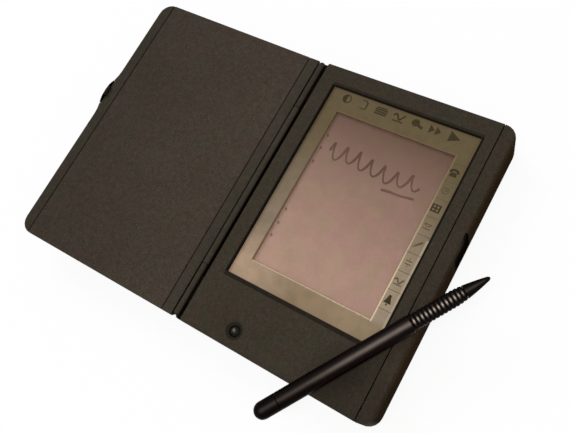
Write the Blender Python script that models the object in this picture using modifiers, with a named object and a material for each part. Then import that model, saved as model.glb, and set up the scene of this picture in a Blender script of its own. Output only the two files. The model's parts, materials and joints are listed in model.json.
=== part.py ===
"""Pen organizer with a hinged lid, lying open, with its pen across the lower right corner.

Metres, +Z up. The origin is on the face that the body rests on, under the middle of the deck. +X
points away from the lid and +Y points to the top of the screen. The lid is modelled open, as it
lies in use.
"""
import math

import bmesh
import bpy
from mathutils import Matrix, Vector

OBJECT_NAME = "pen_organizer"

# Fits between pieces, and how far cutters and joined ribs run past a surface
GAP = 0.0003
SEAM = 0.0004
OVERRUN = 0.0020
EMBED = 0.0006
WELD = 0.00001

# Casing of the body
WALL = 0.0018
FLOOR = 0.0018
DECK = 0.0015
OUTER_CORNER_RADIUS = 0.0074
RIM_RADIUS = 0.0016
CORNER_MARGIN = 0.0002
BASE_RIM_RADIUS = 0.0014
RAIL_WIDTH = 0.0076
SEAM_ABOVE_SLOT = 0.0010

# Screen, its printed mask in the deck's window, and the deck round the window
SCREEN_WIDTH = 0.0677
SCREEN_LENGTH = 0.0913
MASK_LEFT = 0.0087
MASK_RIGHT = 0.0081
MASK_LOW = 0.0116
MASK_HIGH = 0.0135
HINGE_MARGIN = 0.0100
RAIL_MARGIN = 0.0067
LOWER_BAND = 0.0008
UPPER_MARGIN = 0.0110
WINDOW_CORNER_RADIUS = 0.0012
OVERLAY_LAP = 0.0015
OVERLAY_THICKNESS = 0.0005
TOUCH_THICKNESS = 0.0011
LCD_FRAME_BORDER = 0.0055
LCD_FRAME_THICKNESS = 0.0037
LCD_FRAME_LIP = 0.0005
LCD_LIP_SETBACK = 0.0024
LCD_GLASS_BORDER = 0.0034
LCD_GLASS_THICKNESS = 0.0022
RIBBON_WIDTH = 0.0300
RIBBON_THICKNESS = 0.0003
RIBBON_START_DEPTH = 0.0024
RIBBON_TAIL = 0.0030

# Memory-card cage under the board, its connector and its eject slider
CARD_SLOT_WIDTH = 0.0545
CARD_SLOT_HEIGHT = 0.0060
CARD_SLOT_DEPTH = 0.0860
CARD_SLOT_OFFSET = 0.0076
CAGE_METAL = 0.0005
CAGE_SIDE = 0.0010
CARD_CONNECTOR_DEPTH = 0.0025
EJECT_ROD_WIDTH = 0.0020
EJECT_ROD_HEIGHT = 0.0030
EJECT_ROD_LENGTH = 0.0700
EJECT_HEAD_WIDTH = 0.0046
EJECT_HEAD_DEPTH = 0.0040

# Main board and what stands on it
BOARD_THICKNESS = 0.0012
BOARD_MARGIN = 0.0010
CHIP_HEIGHT = 0.0020
SCREEN_CLEARANCE = 0.0006
BOARD_POST_RADIUS = 0.0015
BOARD_POST_INSET = 0.0120
PROCESSOR_SIDE = 0.0200
ROM_WIDTH = 0.0140
ROM_LENGTH = 0.0280
RAM_WIDTH = 0.0100
RAM_LENGTH = 0.0180
INTERFACE_SIDE = 0.0120
CRYSTAL_WIDTH = 0.0110
CRYSTAL_LENGTH = 0.0045
SERIAL_WIDTH = 0.0130
SERIAL_HEIGHT = 0.0058
SERIAL_DEPTH = 0.0085
SERIAL_WALL = 0.0008
SERIAL_BACK = 0.0015
SERIAL_INSET = 0.0020
PORT_RECESS = 0.0006
SOUNDER_RADIUS = 0.0095
SOUNDER_THICKNESS = 0.0009

# Cells, their contacts, the battery door and its catch tabs
CELL_DIAMETER = 0.0145
CELL_LENGTH = 0.0500
CELL_NUB_RADIUS = 0.0027
CELL_NUB_LENGTH = 0.0010
CELL_EDGE_RADIUS = 0.0006
CELL_ROW_GAP = 0.0007
CELL_RIB = 0.0010
CELL_RIB_STEP = 0.0006
CONTACT_THICKNESS = 0.0004
CONTACT_WIDTH = 0.0110
CONTACT_SPRING_LENGTH = 0.0024
CONTACT_SPRING_RADIUS = 0.0030
CONTACT_WIRE_RADIUS = 0.0003
BAY_WALL = 0.0010
BAY_WALL_HEIGHT = 0.0075
DOOR_THICKNESS = 0.0016
DOOR_TAB_WIDTH = 0.0080
DOOR_TAB_THICKNESS = 0.0006
DOOR_TAB_REACH = 0.0022
DOOR_TAB_ROOT = 0.0012
DOOR_GROOVE_LENGTH = 0.0180
DOOR_GROOVE_WIDTH = 0.0008
DOOR_GROOVE_DEPTH = 0.0005
DOOR_GROOVE_PITCH = 0.0020
DOOR_GROOVE_EDGE = 0.0060
DOOR_GROOVE_COUNT = 5

# Power button, its dish in the deck, and the switch board under it
BUTTON_INSET_X = 0.0299
BUTTON_INSET_Y = 0.0086
BUTTON_RADIUS = 0.0026
BUTTON_DOME = 0.0011
BUTTON_SINK = 0.0002
BUTTON_TRAVEL = 0.0008
BUTTON_FLANGE_RADIUS = 0.0040
BUTTON_FLANGE = 0.0008
DISH_RADIUS = 0.0049
DISH_DEPTH = 0.0012
BUTTON_BOSS_RADIUS = 0.0052
BUTTON_BOSS_DEPTH = 0.0020
SWITCH_SIDE = 0.0060
SWITCH_PLUNGER_RADIUS = 0.0017
SWITCH_PLUNGER_HEIGHT = 0.0010
SWITCH_BOARD_WIDTH = 0.0260
SWITCH_BOARD_MARGIN = 0.0007
SWITCH_BOARD_THICKNESS = 0.0010
BRACKET_WIDTH = 0.0020
BACKUP_CELL_RADIUS = 0.0050
BACKUP_CELL_THICKNESS = 0.0025
BACKUP_HOLDER_WALL = 0.0010
BACKUP_HOLDER_HEIGHT = 0.0044

# Case screws and their posts
SCREW_RADIUS = 0.0009
SCREW_HEAD_RADIUS = 0.0019
SCREW_HEAD_HEIGHT = 0.0012
SCREW_HEAD_SINK = 0.0006
SCREW_SLOT_WIDTH = 0.0005
SCREW_SLOT_DEPTH = 0.0005
SCREW_BITE = 0.0056
LOWER_POST_RADIUS = 0.0030
UPPER_POST_RADIUS = 0.0021
POST_CLEARANCE = 0.0006

# Hinge
HINGE_DROP = 0.0009
HINGE_CLEARANCE = 0.0007
GROOVE_WALL = 0.0008
BARREL_RADIUS = 0.0018
BARREL_HALF_LENGTH = 0.0487
KNUCKLE_MARGIN = 0.0012
KNUCKLE_SKIN = 0.0012
KNUCKLE_END_SHARE = 0.9
HINGE_PIN_RADIUS = 0.0008
HINGE_PIN_REACH = 0.0090
HINGE_WEB_INSET = 0.0002
HINGE_WEB_LENGTH = 0.0013
TONGUE_THICKNESS = 0.0010
TONGUE_DROP = 0.0010
TONGUE_REACH = 0.0040
TONGUE_WIDTH = 0.0160
TONGUE_INSET = 0.0060
LID_RISE = math.radians(3.4)

# Lid
LID_THICKNESS = 0.0060
LID_WALL = 0.0016
LID_FLOOR = 0.0016
LID_PLATE = 0.0015
LID_EDGE_RADIUS = 0.0003
HINGE_STRIP_WIDTH = 0.0062
EDGE_STRIP_WIDTH = 0.0063
LID_RIB = 0.0012
LID_RIB_SHARES = (-0.42, 0.42)
BULGE_HEIGHT = 0.0026
BULGE_HALF_LENGTH = 0.0150

# Latch in the lid's outer edge, and the notch that it catches in
LATCH_Y = 0.0134
LATCH_LENGTH = 0.0154
LATCH_THICKNESS = 0.0006
LATCH_SEAT = 0.0002
LATCH_RISE = 0.0019
LATCH_END_RISE = 0.0002
LATCH_CREST_POWER = 2.5
LATCH_FALL = 0.0046
LATCH_TRAVEL = 0.0012
BARB_LENGTH = 0.0060
BARB_REACH = 0.0014
BARB_HEIGHT = 0.0005
BARB_DROP = 0.0002
SHANK_WIDTH = 0.0080
SHANK_THICKNESS = 0.0014
FLANGE_THICKNESS = 0.0010
LATCH_SPRING_LENGTH = 0.0027
LATCH_SPRING_RADIUS = 0.0008
LATCH_SPRING_WIRE = 0.00015
LATCH_SPRING_INSET = 0.0016
NOTCH_LENGTH = 0.0148
NOTCH_BASE = 0.0026
NOTCH_DEPTH = 0.0022
NOTCH_DROP = 0.0008
NOTCH_HOUSING_WALL = 0.0015
NOTCH_MOUTH_LENGTH = 0.0052
NOTCH_MOUTH_DEPTH = 0.0013
NOTCH_MOUTH_MARGIN = 0.0004

# Pen
PEN_LENGTH = 0.1230
PEN_RADIUS = 0.0043
PEN_CAP_LENGTH = 0.0124
PEN_CAP_WALL = 0.0010
PEN_CAP_BORE = 0.0070
PEN_GRIP_LENGTH = 0.0270
PEN_GRIP_STEP = 0.00045
PEN_GRIP_WALL = 0.0011
PEN_TIP_LENGTH = 0.0132
PEN_TAPER_LENGTH = 0.0185
PEN_POINT_OVERRUN = 0.0005
PEN_TIP_RADIUS = 0.0007
PEN_NIB_LENGTH = 0.0008
PEN_RIB_DEPTH = 0.00035
PEN_SPIGOT_LENGTH = 0.0025
PEN_BARREL_EDGE = 0.0004
PEN_INSET_X = 0.0481
PEN_OVERHANG = 0.0195
PEN_HEADING = math.radians(57.6)
PEN_RIB_COUNT = 13
PEN_TAPER_POWER = 1.45

# Shares of a size, chosen by hand
DOOR_TAB_SHARES = (-0.6, 0.0, 0.6)
CELL_RIB_SHARES = (-0.65, 0.40)
PROCESSOR_PLACE_SHARES = (0.34, 0.60)
ROM_PLACE_SHARES = (0.66, 0.56)
RAM_1_PLACE_SHARES = (0.20, 0.32)
RAM_2_PLACE_SHARES = (0.36, 0.32)
INTERFACE_PLACE_SHARES = (0.58, 0.26)
CRYSTAL_PLACE_SHARES = (0.32, 0.78)
PEN_CREST_SHARES = (0.72, 0.28)

# Facets
ARC_STEPS = 5
RIM_STEPS = 3
DOME_STEPS = 4
TURN_STEPS = 24
SMALL_STEPS = 12
COIL_STEPS = 9
CONTACT_SPRING_TURNS = 3
LATCH_SPRING_TURNS = 4
FLAT_ANGLE = math.radians(0.2)
CREASE_ANGLE = math.radians(35)

# Heights, from the floor up
CAGE_BASE = FLOOR + GAP
SLOT_TOP = CAGE_BASE + CARD_SLOT_HEIGHT
CAGE_TOP = SLOT_TOP + CAGE_METAL
LOWER_CASE_HEIGHT = CAGE_TOP + SEAM_ABOVE_SLOT
UPPER_CASE_BASE = LOWER_CASE_HEIGHT + GAP
BOARD_BASE = CAGE_TOP + GAP
BOARD_TOP = BOARD_BASE + BOARD_THICKNESS
CHIP_BASE = BOARD_TOP + GAP
CELL_TOP = DOOR_THICKNESS + GAP + CELL_DIAMETER
LCD_BASE = max(CHIP_BASE + CHIP_HEIGHT + SCREEN_CLEARANCE, CELL_TOP + GAP - LCD_FRAME_THICKNESS)
LCD_TOP = LCD_BASE + LCD_FRAME_THICKNESS
TOUCH_BASE = LCD_TOP + GAP
TOUCH_TOP = TOUCH_BASE + TOUCH_THICKNESS
OVERLAY_BASE = TOUCH_TOP + GAP
OVERLAY_TOP = OVERLAY_BASE + OVERLAY_THICKNESS
DECK_UNDERSIDE = OVERLAY_TOP + GAP
BODY_HEIGHT = DECK_UNDERSIDE + DECK

# Corners by the hinge are just round enough for the rim to run round them
HINGE_CORNER_RADIUS = RIM_RADIUS + CORNER_MARGIN

# Plan of the body. The casing is as wide as its deck or its row of two cells needs
CELL_RADIUS = CELL_DIAMETER / 2
CONTACT_STACK = GAP + CONTACT_THICKNESS + GAP
SPRING_STACK = GAP + CONTACT_SPRING_LENGTH + CONTACT_STACK + CELL_RIB_STEP
CELL_ROW_LENGTH = CONTACT_STACK + CELL_LENGTH * 2 + GAP + SPRING_STACK
WINDOW_WIDTH = MASK_LEFT + SCREEN_WIDTH + MASK_RIGHT
WINDOW_LENGTH = MASK_LOW + SCREEN_LENGTH + MASK_HIGH
LOWER_MARGIN = WALL + GAP + CELL_DIAMETER * 2 + CELL_ROW_GAP + LOWER_BAND
DECK_NEED = HINGE_MARGIN + WINDOW_WIDTH + RAIL_MARGIN + SEAM + RAIL_WIDTH
BODY_WIDTH = max(DECK_NEED, CELL_ROW_LENGTH + WALL * 2)
HALF_WIDTH = BODY_WIDTH / 2
BODY_LENGTH = LOWER_MARGIN + WINDOW_LENGTH + UPPER_MARGIN
HALF_LENGTH = BODY_LENGTH / 2
DECK_EDGE_X = HALF_WIDTH - RAIL_WIDTH - SEAM
RAIL_EDGE_X = HALF_WIDTH - RAIL_WIDTH
INNER_X = HALF_WIDTH - WALL
INNER_Y = HALF_LENGTH - WALL

WINDOW_LOW = (HINGE_MARGIN - HALF_WIDTH, LOWER_MARGIN - HALF_LENGTH)
WINDOW_HIGH = (WINDOW_LOW[0] + WINDOW_WIDTH, WINDOW_LOW[1] + WINDOW_LENGTH)
SCREEN_LOW = (WINDOW_LOW[0] + MASK_LEFT, WINDOW_LOW[1] + MASK_LOW)
SCREEN_HIGH = (SCREEN_LOW[0] + SCREEN_WIDTH, SCREEN_LOW[1] + SCREEN_LENGTH)
OVERLAY_LOW = (WINDOW_LOW[0] - OVERLAY_LAP, WINDOW_LOW[1] - OVERLAY_LAP)
OVERLAY_HIGH = (WINDOW_HIGH[0] + OVERLAY_LAP, WINDOW_HIGH[1] + OVERLAY_LAP)

# Battery bay, along the lower edge
CELL_Z = DOOR_THICKNESS + GAP + CELL_RADIUS
FRONT_ROW_Y = GAP + CELL_RADIUS - INNER_Y
BACK_ROW_Y = FRONT_ROW_Y + CELL_DIAMETER + CELL_ROW_GAP
BAY_WALL_LOW_Y = BACK_ROW_Y + CELL_RADIUS + GAP
BAY_WALL_HIGH_Y = BAY_WALL_LOW_Y + BAY_WALL
DOOR_EDGE_Y = BAY_WALL_LOW_Y - SEAM
BACK_ROW_END_X = INNER_X - CONTACT_STACK
FRONT_ROW_END_X = HALF_WIDTH - OUTER_CORNER_RADIUS - CONTACT_STACK
BACK_SPRING_X = BACK_ROW_END_X - CELL_LENGTH * 2 - GAP * 2 - CONTACT_SPRING_LENGTH
FRONT_SPRING_X = FRONT_ROW_END_X - CELL_LENGTH - GAP - CONTACT_SPRING_LENGTH

# Case screws: two beside the screen's upper corners and two beside its lower ones
SCREW_LEFT_X = OVERLAY_LOW[0] - POST_CLEARANCE - UPPER_POST_RADIUS
SCREW_RIGHT_X = OVERLAY_HIGH[0] + POST_CLEARANCE + UPPER_POST_RADIUS
SCREW_LOW_Y = BAY_WALL_HIGH_Y + POST_CLEARANCE + LOWER_POST_RADIUS
SCREW_HIGH_Y = INNER_Y - POST_CLEARANCE - LOWER_POST_RADIUS
SCREW_PLACES = [(x, y) for y in (SCREW_LOW_Y, SCREW_HIGH_Y) for x in (SCREW_LEFT_X, SCREW_RIGHT_X)]
SCREW_BORE = SCREW_RADIUS + GAP
SCREW_RECESS = SCREW_HEAD_SINK + SCREW_HEAD_HEIGHT + GAP
SCREW_TOP = UPPER_CASE_BASE + SCREW_BITE

# Main board
BOARD_LOW = (SCREW_LEFT_X + LOWER_POST_RADIUS + GAP, BAY_WALL_HIGH_Y + BOARD_MARGIN)
BOARD_HIGH = (SCREW_RIGHT_X - LOWER_POST_RADIUS - GAP, INNER_Y - BOARD_MARGIN)
SLOT_LOW_X = -CARD_SLOT_OFFSET - CARD_SLOT_WIDTH / 2
SLOT_HIGH_X = SLOT_LOW_X + CARD_SLOT_WIDTH
CAGE_MOUTH_Y = INNER_Y - GAP
CAGE_END_Y = CAGE_MOUTH_Y - CARD_SLOT_DEPTH
EJECT_LOW_X = SLOT_HIGH_X + CAGE_SIDE + GAP
EJECT_HIGH_X = EJECT_LOW_X + EJECT_HEAD_WIDTH
EJECT_HEAD_HEIGHT = EJECT_ROD_HEIGHT + GAP * 2
EJECT_LOW_Z = CAGE_BASE + GAP
BOARD_POSTS = [
    (x, y)
    for y in (BOARD_LOW[1] + BOARD_POST_INSET, BOARD_HIGH[1] - BOARD_POST_INSET)
    for x in ((BOARD_LOW[0] + SLOT_LOW_X - CAGE_SIDE) / 2, (BOARD_HIGH[0] + EJECT_HIGH_X) / 2)
]
SERIAL_HIGH_X = BOARD_HIGH[0] - SERIAL_INSET
SERIAL_LOW_X = SERIAL_HIGH_X - SERIAL_WIDTH
SERIAL_HIGH_Y = HALF_LENGTH - PORT_RECESS
SERIAL_LOW_Y = SERIAL_HIGH_Y - SERIAL_DEPTH
SERIAL_TOP = CHIP_BASE + SERIAL_HEIGHT
SOUNDER_Y = CAGE_END_Y - GAP - SOUNDER_RADIUS

# Power button
BUTTON_X = BUTTON_INSET_X - HALF_WIDTH
BUTTON_Y = BUTTON_INSET_Y - HALF_LENGTH
BUTTON_HOLE_RADIUS = BUTTON_RADIUS + GAP
BUTTON_TOP = BODY_HEIGHT - BUTTON_SINK
BUTTON_BOSS_BASE = DECK_UNDERSIDE - BUTTON_BOSS_DEPTH
BUTTON_FLANGE_TOP = BUTTON_BOSS_BASE - GAP
BUTTON_FLANGE_BASE = BUTTON_FLANGE_TOP - BUTTON_FLANGE
SWITCH_TOP = BUTTON_FLANGE_BASE - BUTTON_TRAVEL - GAP
SWITCH_BOARD_BASE = LOWER_CASE_HEIGHT + GAP
SWITCH_BOARD_TOP = SWITCH_BOARD_BASE + SWITCH_BOARD_THICKNESS
SWITCH_BASE = SWITCH_BOARD_TOP + GAP
SWITCH_BOARD_LOW_X = BUTTON_X - SWITCH_BOARD_WIDTH / 2
SWITCH_BOARD_HIGH_X = BUTTON_X + SWITCH_BOARD_WIDTH / 2
SWITCH_BOARD_LOW_Y = GAP - INNER_Y
SWITCH_BOARD_HIGH_Y = SWITCH_BOARD_LOW_Y + CELL_DIAMETER - SWITCH_BOARD_MARGIN
BACKUP_HOLDER_BASE = SWITCH_BOARD_BASE - GAP - BACKUP_HOLDER_HEIGHT
BACKUP_CELL_BASE = BACKUP_HOLDER_BASE + GAP
BACKUP_HALF_SIDE = BACKUP_CELL_RADIUS + GAP + BACKUP_HOLDER_WALL
BACKUP_Y = SWITCH_BOARD_LOW_Y + BACKUP_HALF_SIDE

# Hinge axis, and the lid in its own frame: the axis is its origin and the lid runs along -X
HINGE_OFFSET = BARREL_RADIUS + HINGE_CLEARANCE
HINGE_X = -HALF_WIDTH - HINGE_OFFSET
HINGE_Z = BODY_HEIGHT - HINGE_DROP
KNUCKLE_START = BARREL_HALF_LENGTH + GAP
KNUCKLE_END = HALF_LENGTH - KNUCKLE_MARGIN
KNUCKLE_BORE_END = KNUCKLE_END - KNUCKLE_SKIN
LID_START = BARREL_RADIUS + HINGE_WEB_LENGTH
LID_FACE = -HINGE_DROP - GAP
LID_BACK = LID_FACE - LID_THICKNESS
SPINE_X = HINGE_X - BARREL_RADIUS
LID_PLATE_BASE = LID_FACE - LID_PLATE
LID_SHELL_TOP = LID_PLATE_BASE - GAP
GROOVE_FLOOR = HINGE_Z + LID_PLATE_BASE - GAP
LID_CAVITY_BASE = LID_BACK + LID_FLOOR
LID_REACH = BODY_WIDTH + HINGE_OFFSET
HINGE_STRIP_EDGE = LID_START + HINGE_STRIP_WIDTH
EDGE_STRIP_EDGE = LID_REACH - EDGE_STRIP_WIDTH
LATCH_FACE = LID_REACH + LATCH_SEAT + GAP
CAVITY_MIDDLE = (LID_CAVITY_BASE + LID_PLATE_BASE) / 2
PEN_GRIP_END = PEN_LENGTH - PEN_TIP_LENGTH
PEN_GRIP_START = PEN_GRIP_END - PEN_GRIP_LENGTH
PEN_GRIP_RADIUS = PEN_RADIUS - PEN_GRIP_STEP
FLANGE_FRONT = LID_REACH - LID_WALL - GAP - LATCH_TRAVEL - LATCH_SPRING_LENGTH - GAP

# Colour, roughness and metallic value of each finish
LOOKS = {
    "casing": ((0.048, 0.040, 0.032), 0.62, 0.0),
    "lid_panel": ((0.060, 0.049, 0.038), 0.66, 0.0),
    "black_plastic": ((0.012, 0.011, 0.010), 0.35, 0.0),
    "gloss_black": ((0.008, 0.007, 0.007), 0.16, 0.0),
    "overlay": ((0.190, 0.165, 0.090), 0.50, 0.0),
    "clear_glass": ((0.700, 0.680, 0.640), 0.05, 0.0),
    "lcd": ((0.300, 0.215, 0.170), 0.30, 0.0),
    "steel": ((0.550, 0.550, 0.540), 0.30, 1.0),
    "nickel": ((0.620, 0.600, 0.560), 0.25, 1.0),
    "board": ((0.020, 0.110, 0.050), 0.50, 0.0),
    "chip": ((0.020, 0.020, 0.022), 0.45, 0.0),
    "ribbon": ((0.420, 0.200, 0.050), 0.40, 0.0),
    "brass": ((0.640, 0.450, 0.170), 0.30, 1.0),
    "cell_wrap": ((0.120, 0.130, 0.150), 0.35, 0.0),
    "ivory_plastic": ((0.560, 0.530, 0.450), 0.45, 0.0),
}


# Place of a round rod that lies on a frame's own axis
AXIS = [(0, 0)]

# Turns of a flat outline into the plane that it is drawn in
PLANES = {
    "XY": Matrix.Identity(4),
    "XZ": Matrix(((1, 0, 0, 0), (0, 0, 1, 0), (0, 1, 0, 0), (0, 0, 0, 1))),
    "YZ": Matrix(((0, 0, 1, 0), (1, 0, 0, 0), (0, 1, 0, 0), (0, 0, 0, 1))),
}


def clear_scene():
    """Remove every object, so that the script starts from nothing."""
    for item in list(bpy.data.objects):
        bpy.data.objects.remove(item, do_unlink=True)


def make_collection(name):
    """A collection under the scene's own."""
    collection = bpy.data.collections.new(name)
    bpy.context.scene.collection.children.link(collection)
    return collection


def make_material(name, look):
    """A Principled material with one of the named finishes."""
    colour, roughness, metallic = LOOKS[look]
    material = bpy.data.materials.new(name)
    material.use_nodes = True
    shader = material.node_tree.nodes["Principled BSDF"]
    shader.inputs["Base Color"].default_value = (*colour, 1.0)
    shader.inputs["Roughness"].default_value = roughness
    shader.inputs["Metallic"].default_value = metallic
    material.diffuse_color = (*colour, 1.0)
    return material


def add_object(name, mesh, look=None):
    """A part when it has a finish, and otherwise a cutter or a tool that is joined to a part."""
    mesh.shade_smooth()
    mesh.set_sharp_from_angle(angle=CREASE_ANGLE)
    piece = bpy.data.objects.new(name, mesh)
    if look is None:
        TOOLS.objects.link(piece)
        piece.hide_render = True
        piece.display_type = "WIRE"
    else:
        PARTS.objects.link(piece)
        mesh.materials.append(make_material(name, look))
    return piece


def combine(piece, tool, operation):
    """A Boolean of the piece with another object, which stays as a guide."""
    modifier = piece.modifiers.new(tool.name, "BOOLEAN")
    modifier.operation = operation
    modifier.solver = "EXACT"
    modifier.object = tool


def cut(piece, *tools):
    """Take the tools out of the piece."""
    for tool in tools:
        combine(piece, tool, "DIFFERENCE")


def join(piece, *tools):
    """Make the tools one solid with the piece."""
    for tool in tools:
        combine(piece, tool, "UNION")


def attach(parent, *pieces):
    """Hang pieces on an empty, in the empty's own frame."""
    for piece in pieces:
        piece.parent = parent


def make_empty(name, location, rotation):
    """An empty that marks an axis."""
    empty = bpy.data.objects.new(name, None)
    empty.location = location
    empty.rotation_euler = rotation
    PARTS.objects.link(empty)
    return empty


def boxes(name, spans, look=None):
    """One object with a box for each pair of low and high corners."""
    form = bmesh.new()
    for low, high in spans:
        middle = (Vector(low) + Vector(high)) / 2
        stretch = Matrix.Diagonal(Vector(high) - Vector(low)).to_4x4()
        bmesh.ops.create_cube(form, size=1, matrix=Matrix.Translation(middle) @ stretch)
    mesh = bpy.data.meshes.new(name)
    form.to_mesh(mesh)
    form.free()
    return add_object(name, mesh, look)


def box(name, low, high, look=None):
    """One box from its low corner to its high one."""
    return boxes(name, [(low, high)], look)


def flared_box(name, low, high, level, look=None):
    """A cutter whose sides lean out at 45 degrees, and which has the given plan at one level."""
    piece = box(name, low, high, look)
    middle_x = (low[0] + high[0]) / 2
    middle_y = (low[1] + high[1]) / 2
    for vertex in piece.data.vertices:
        flare = vertex.co.z - level
        vertex.co.x += flare if vertex.co.x > middle_x else -flare
        vertex.co.y += flare if vertex.co.y > middle_y else -flare
    return piece


def rods(name, places, radius, low, high, look=None, steps=SMALL_STEPS, along_y=False, top_radius=None):
    """Round rods on the given places, along Z, or along Y with places in X and Z."""
    form = bmesh.new()
    for first, second in places:
        middle = (low + high) / 2
        turn = Matrix.Translation((first, second, middle))
        if along_y:
            turn = Matrix.Translation((first, middle, second)) @ PLANES["XZ"]
        bmesh.ops.create_cone(
            form,
            cap_ends=True,
            segments=steps,
            radius1=radius,
            radius2=radius if top_radius is None else top_radius,
            depth=high - low,
            matrix=turn,
        )
    mesh = bpy.data.meshes.new(name)
    form.to_mesh(mesh)
    form.free()
    if along_y:
        mesh.flip_normals()
    return add_object(name, mesh, look)


def turned(name, profile, look=None, steps=TURN_STEPS):
    """A turned shape round Z, from (radius, height) points that run down its outer side."""
    mesh = bpy.data.meshes.new(name)
    points = [(radius, 0, height) for radius, height in profile]
    edges = [(index, index + 1) for index in range(len(points) - 1)]
    if profile[0][0] > 0:
        edges.append((len(points) - 1, 0))
    mesh.from_pydata(points, edges, [])
    piece = add_object(name, mesh, look)
    screw = piece.modifiers.new("turn", "SCREW")
    screw.steps = steps
    screw.render_steps = steps
    screw.use_merge_vertices = True
    screw.merge_threshold = WELD
    screw.use_smooth_shade = True
    return piece


def mesh_from_curve(name, curve, placement):
    """The closed mesh of a curve, with its caps welded and its flat faces whole."""
    guide = bpy.data.objects.new(name + "_guide", curve)
    TOOLS.objects.link(guide)
    evaluated = guide.evaluated_get(bpy.context.evaluated_depsgraph_get())
    mesh = bpy.data.meshes.new_from_object(evaluated)
    mesh.name = name
    form = bmesh.new()
    form.from_mesh(mesh)
    bmesh.ops.remove_doubles(form, verts=form.verts, dist=WELD)
    bmesh.ops.dissolve_limit(form, angle_limit=FLAT_ANGLE, verts=form.verts, edges=form.edges)
    bmesh.ops.recalc_face_normals(form, faces=form.faces)
    form.transform(placement)
    form.to_mesh(mesh)
    form.free()
    bpy.data.objects.remove(guide, do_unlink=True)
    bpy.data.curves.remove(curve)
    return mesh


def prism(name, outline, low, high, look=None, plane="XY"):
    """A flat outline in the named plane, thickened from low to high across it."""
    curve = bpy.data.curves.new(name, "CURVE")
    curve.dimensions = "2D"
    curve.fill_mode = "BOTH"
    curve.extrude = (high - low) / 2
    spline = curve.splines.new("POLY")
    spline.points.add(len(outline) - 1)
    for point, place in zip(spline.points, outline):
        point.co = (*place, 0, 1)
    spline.use_cyclic_u = True
    middle = Matrix.Translation((0, 0, (low + high) / 2))
    mesh = mesh_from_curve(name, curve, PLANES[plane] @ middle)
    if PLANES[plane].determinant() < 0:
        mesh.flip_normals()
    return add_object(name, mesh, look)


def coil(name, start, length, radius, wire_radius, turns, look, steps=COIL_STEPS):
    """A spring along X from its start point, wound from one unbroken wire."""
    curve = bpy.data.curves.new(name, "CURVE")
    curve.dimensions = "3D"
    curve.bevel_depth = wire_radius
    curve.bevel_resolution = 1
    curve.use_fill_caps = True
    spline = curve.splines.new("POLY")
    count = turns * steps
    spline.points.add(count)
    rise = length - wire_radius * 2
    for index, point in enumerate(spline.points):
        angle = math.tau * index / steps
        along = start[0] + wire_radius + rise * index / count
        point.co = (along, start[1] + radius * math.cos(angle), start[2] + radius * math.sin(angle), 1)
    mesh = mesh_from_curve(name, curve, Matrix.Identity(4))
    return add_object(name, mesh, look)


def arc(centre_x, centre_y, radius, start, end, steps=ARC_STEPS):
    """Points along an arc, with both ends, or its centre alone when it has no radius."""
    if radius <= 0:
        return [(centre_x, centre_y)]
    angles = [start + (end - start) * index / steps for index in range(steps + 1)]
    return [(centre_x + radius * math.cos(angle), centre_y + radius * math.sin(angle)) for angle in angles]


def rounded_rectangle(low, high, low_x_radius, high_x_radius):
    """Anticlockwise outline of a rectangle, with one corner radius at each end in X."""
    quarter = math.pi / 2
    near = max(low_x_radius, 0)
    far = max(high_x_radius, 0)
    return (
        arc(low[0] + near, low[1] + near, near, quarter * 2, quarter * 3)
        + arc(high[0] - far, low[1] + far, far, quarter * 3, quarter * 4)
        + arc(high[0] - far, high[1] - far, far, 0, quarter)
        + arc(low[0] + near, high[1] - near, near, quarter, quarter * 2)
    )


def clipped(outline, axis, limit, keep_low):
    """The part of an outline on one side of a straight line across X (0) or Y (1)."""
    kept = []
    for index, point in enumerate(outline):
        previous = outline[index - 1]
        inside = (point[axis] <= limit) == keep_low
        was_inside = (previous[axis] <= limit) == keep_low
        if inside != was_inside:
            share = (limit - previous[axis]) / (point[axis] - previous[axis])
            crossing = [start + (end - start) * share for start, end in zip(previous, point)]
            crossing[axis] = limit
            kept.append(tuple(crossing))
        if inside:
            kept.append(point)
    return kept


def body_outline(inset=0, low_x=None):
    """Plan of the body with its spine under the hinge, or of its inside at a given inset."""
    low = (SPINE_X + inset if low_x is None else low_x, inset - HALF_LENGTH)
    high = (HALF_WIDTH - inset, HALF_LENGTH - inset)
    return rounded_rectangle(low, high, HINGE_CORNER_RADIUS - inset, OUTER_CORNER_RADIUS - inset)


def round_rim(piece, radius, height, seam_axis=0, seam=None, steps=RIM_STEPS):
    """Round a piece's edges at one height, apart from those that lie along a seam."""
    mesh = piece.data
    weights = mesh.attributes.new("bevel_weight_edge", "FLOAT", "EDGE")
    for edge in mesh.edges:
        ends = [mesh.vertices[index].co for index in edge.vertices]
        on_rim = all(abs(end.z - height) < WELD for end in ends)
        on_seam = seam is not None and all(abs(end[seam_axis] - seam) < WELD for end in ends)
        weights.data[edge.index].value = 1 if on_rim and not on_seam else 0
    bevel = piece.modifiers.new("rim", "BEVEL")
    bevel.limit_method = "WEIGHT"
    bevel.width = radius
    bevel.segments = steps


def notch_housing(name, low_z, high_z):
    """The thick place in the outer wall, behind the notch for the latch."""
    half = NOTCH_LENGTH / 2 + NOTCH_HOUSING_WALL
    low = (HALF_WIDTH - NOTCH_DEPTH - NOTCH_HOUSING_WALL, LATCH_Y - half, low_z)
    return box(name, low, (INNER_X + EMBED, LATCH_Y + half, high_z))


def notch_cutter(name, low_z, high_z):
    """Cutter for the notch in the outer wall that the latch catches in."""
    half = NOTCH_LENGTH / 2
    low = (HALF_WIDTH - NOTCH_DEPTH, LATCH_Y - half, low_z)
    return box(name, low, (HALF_WIDTH + OVERRUN, LATCH_Y + half, high_z))


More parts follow.
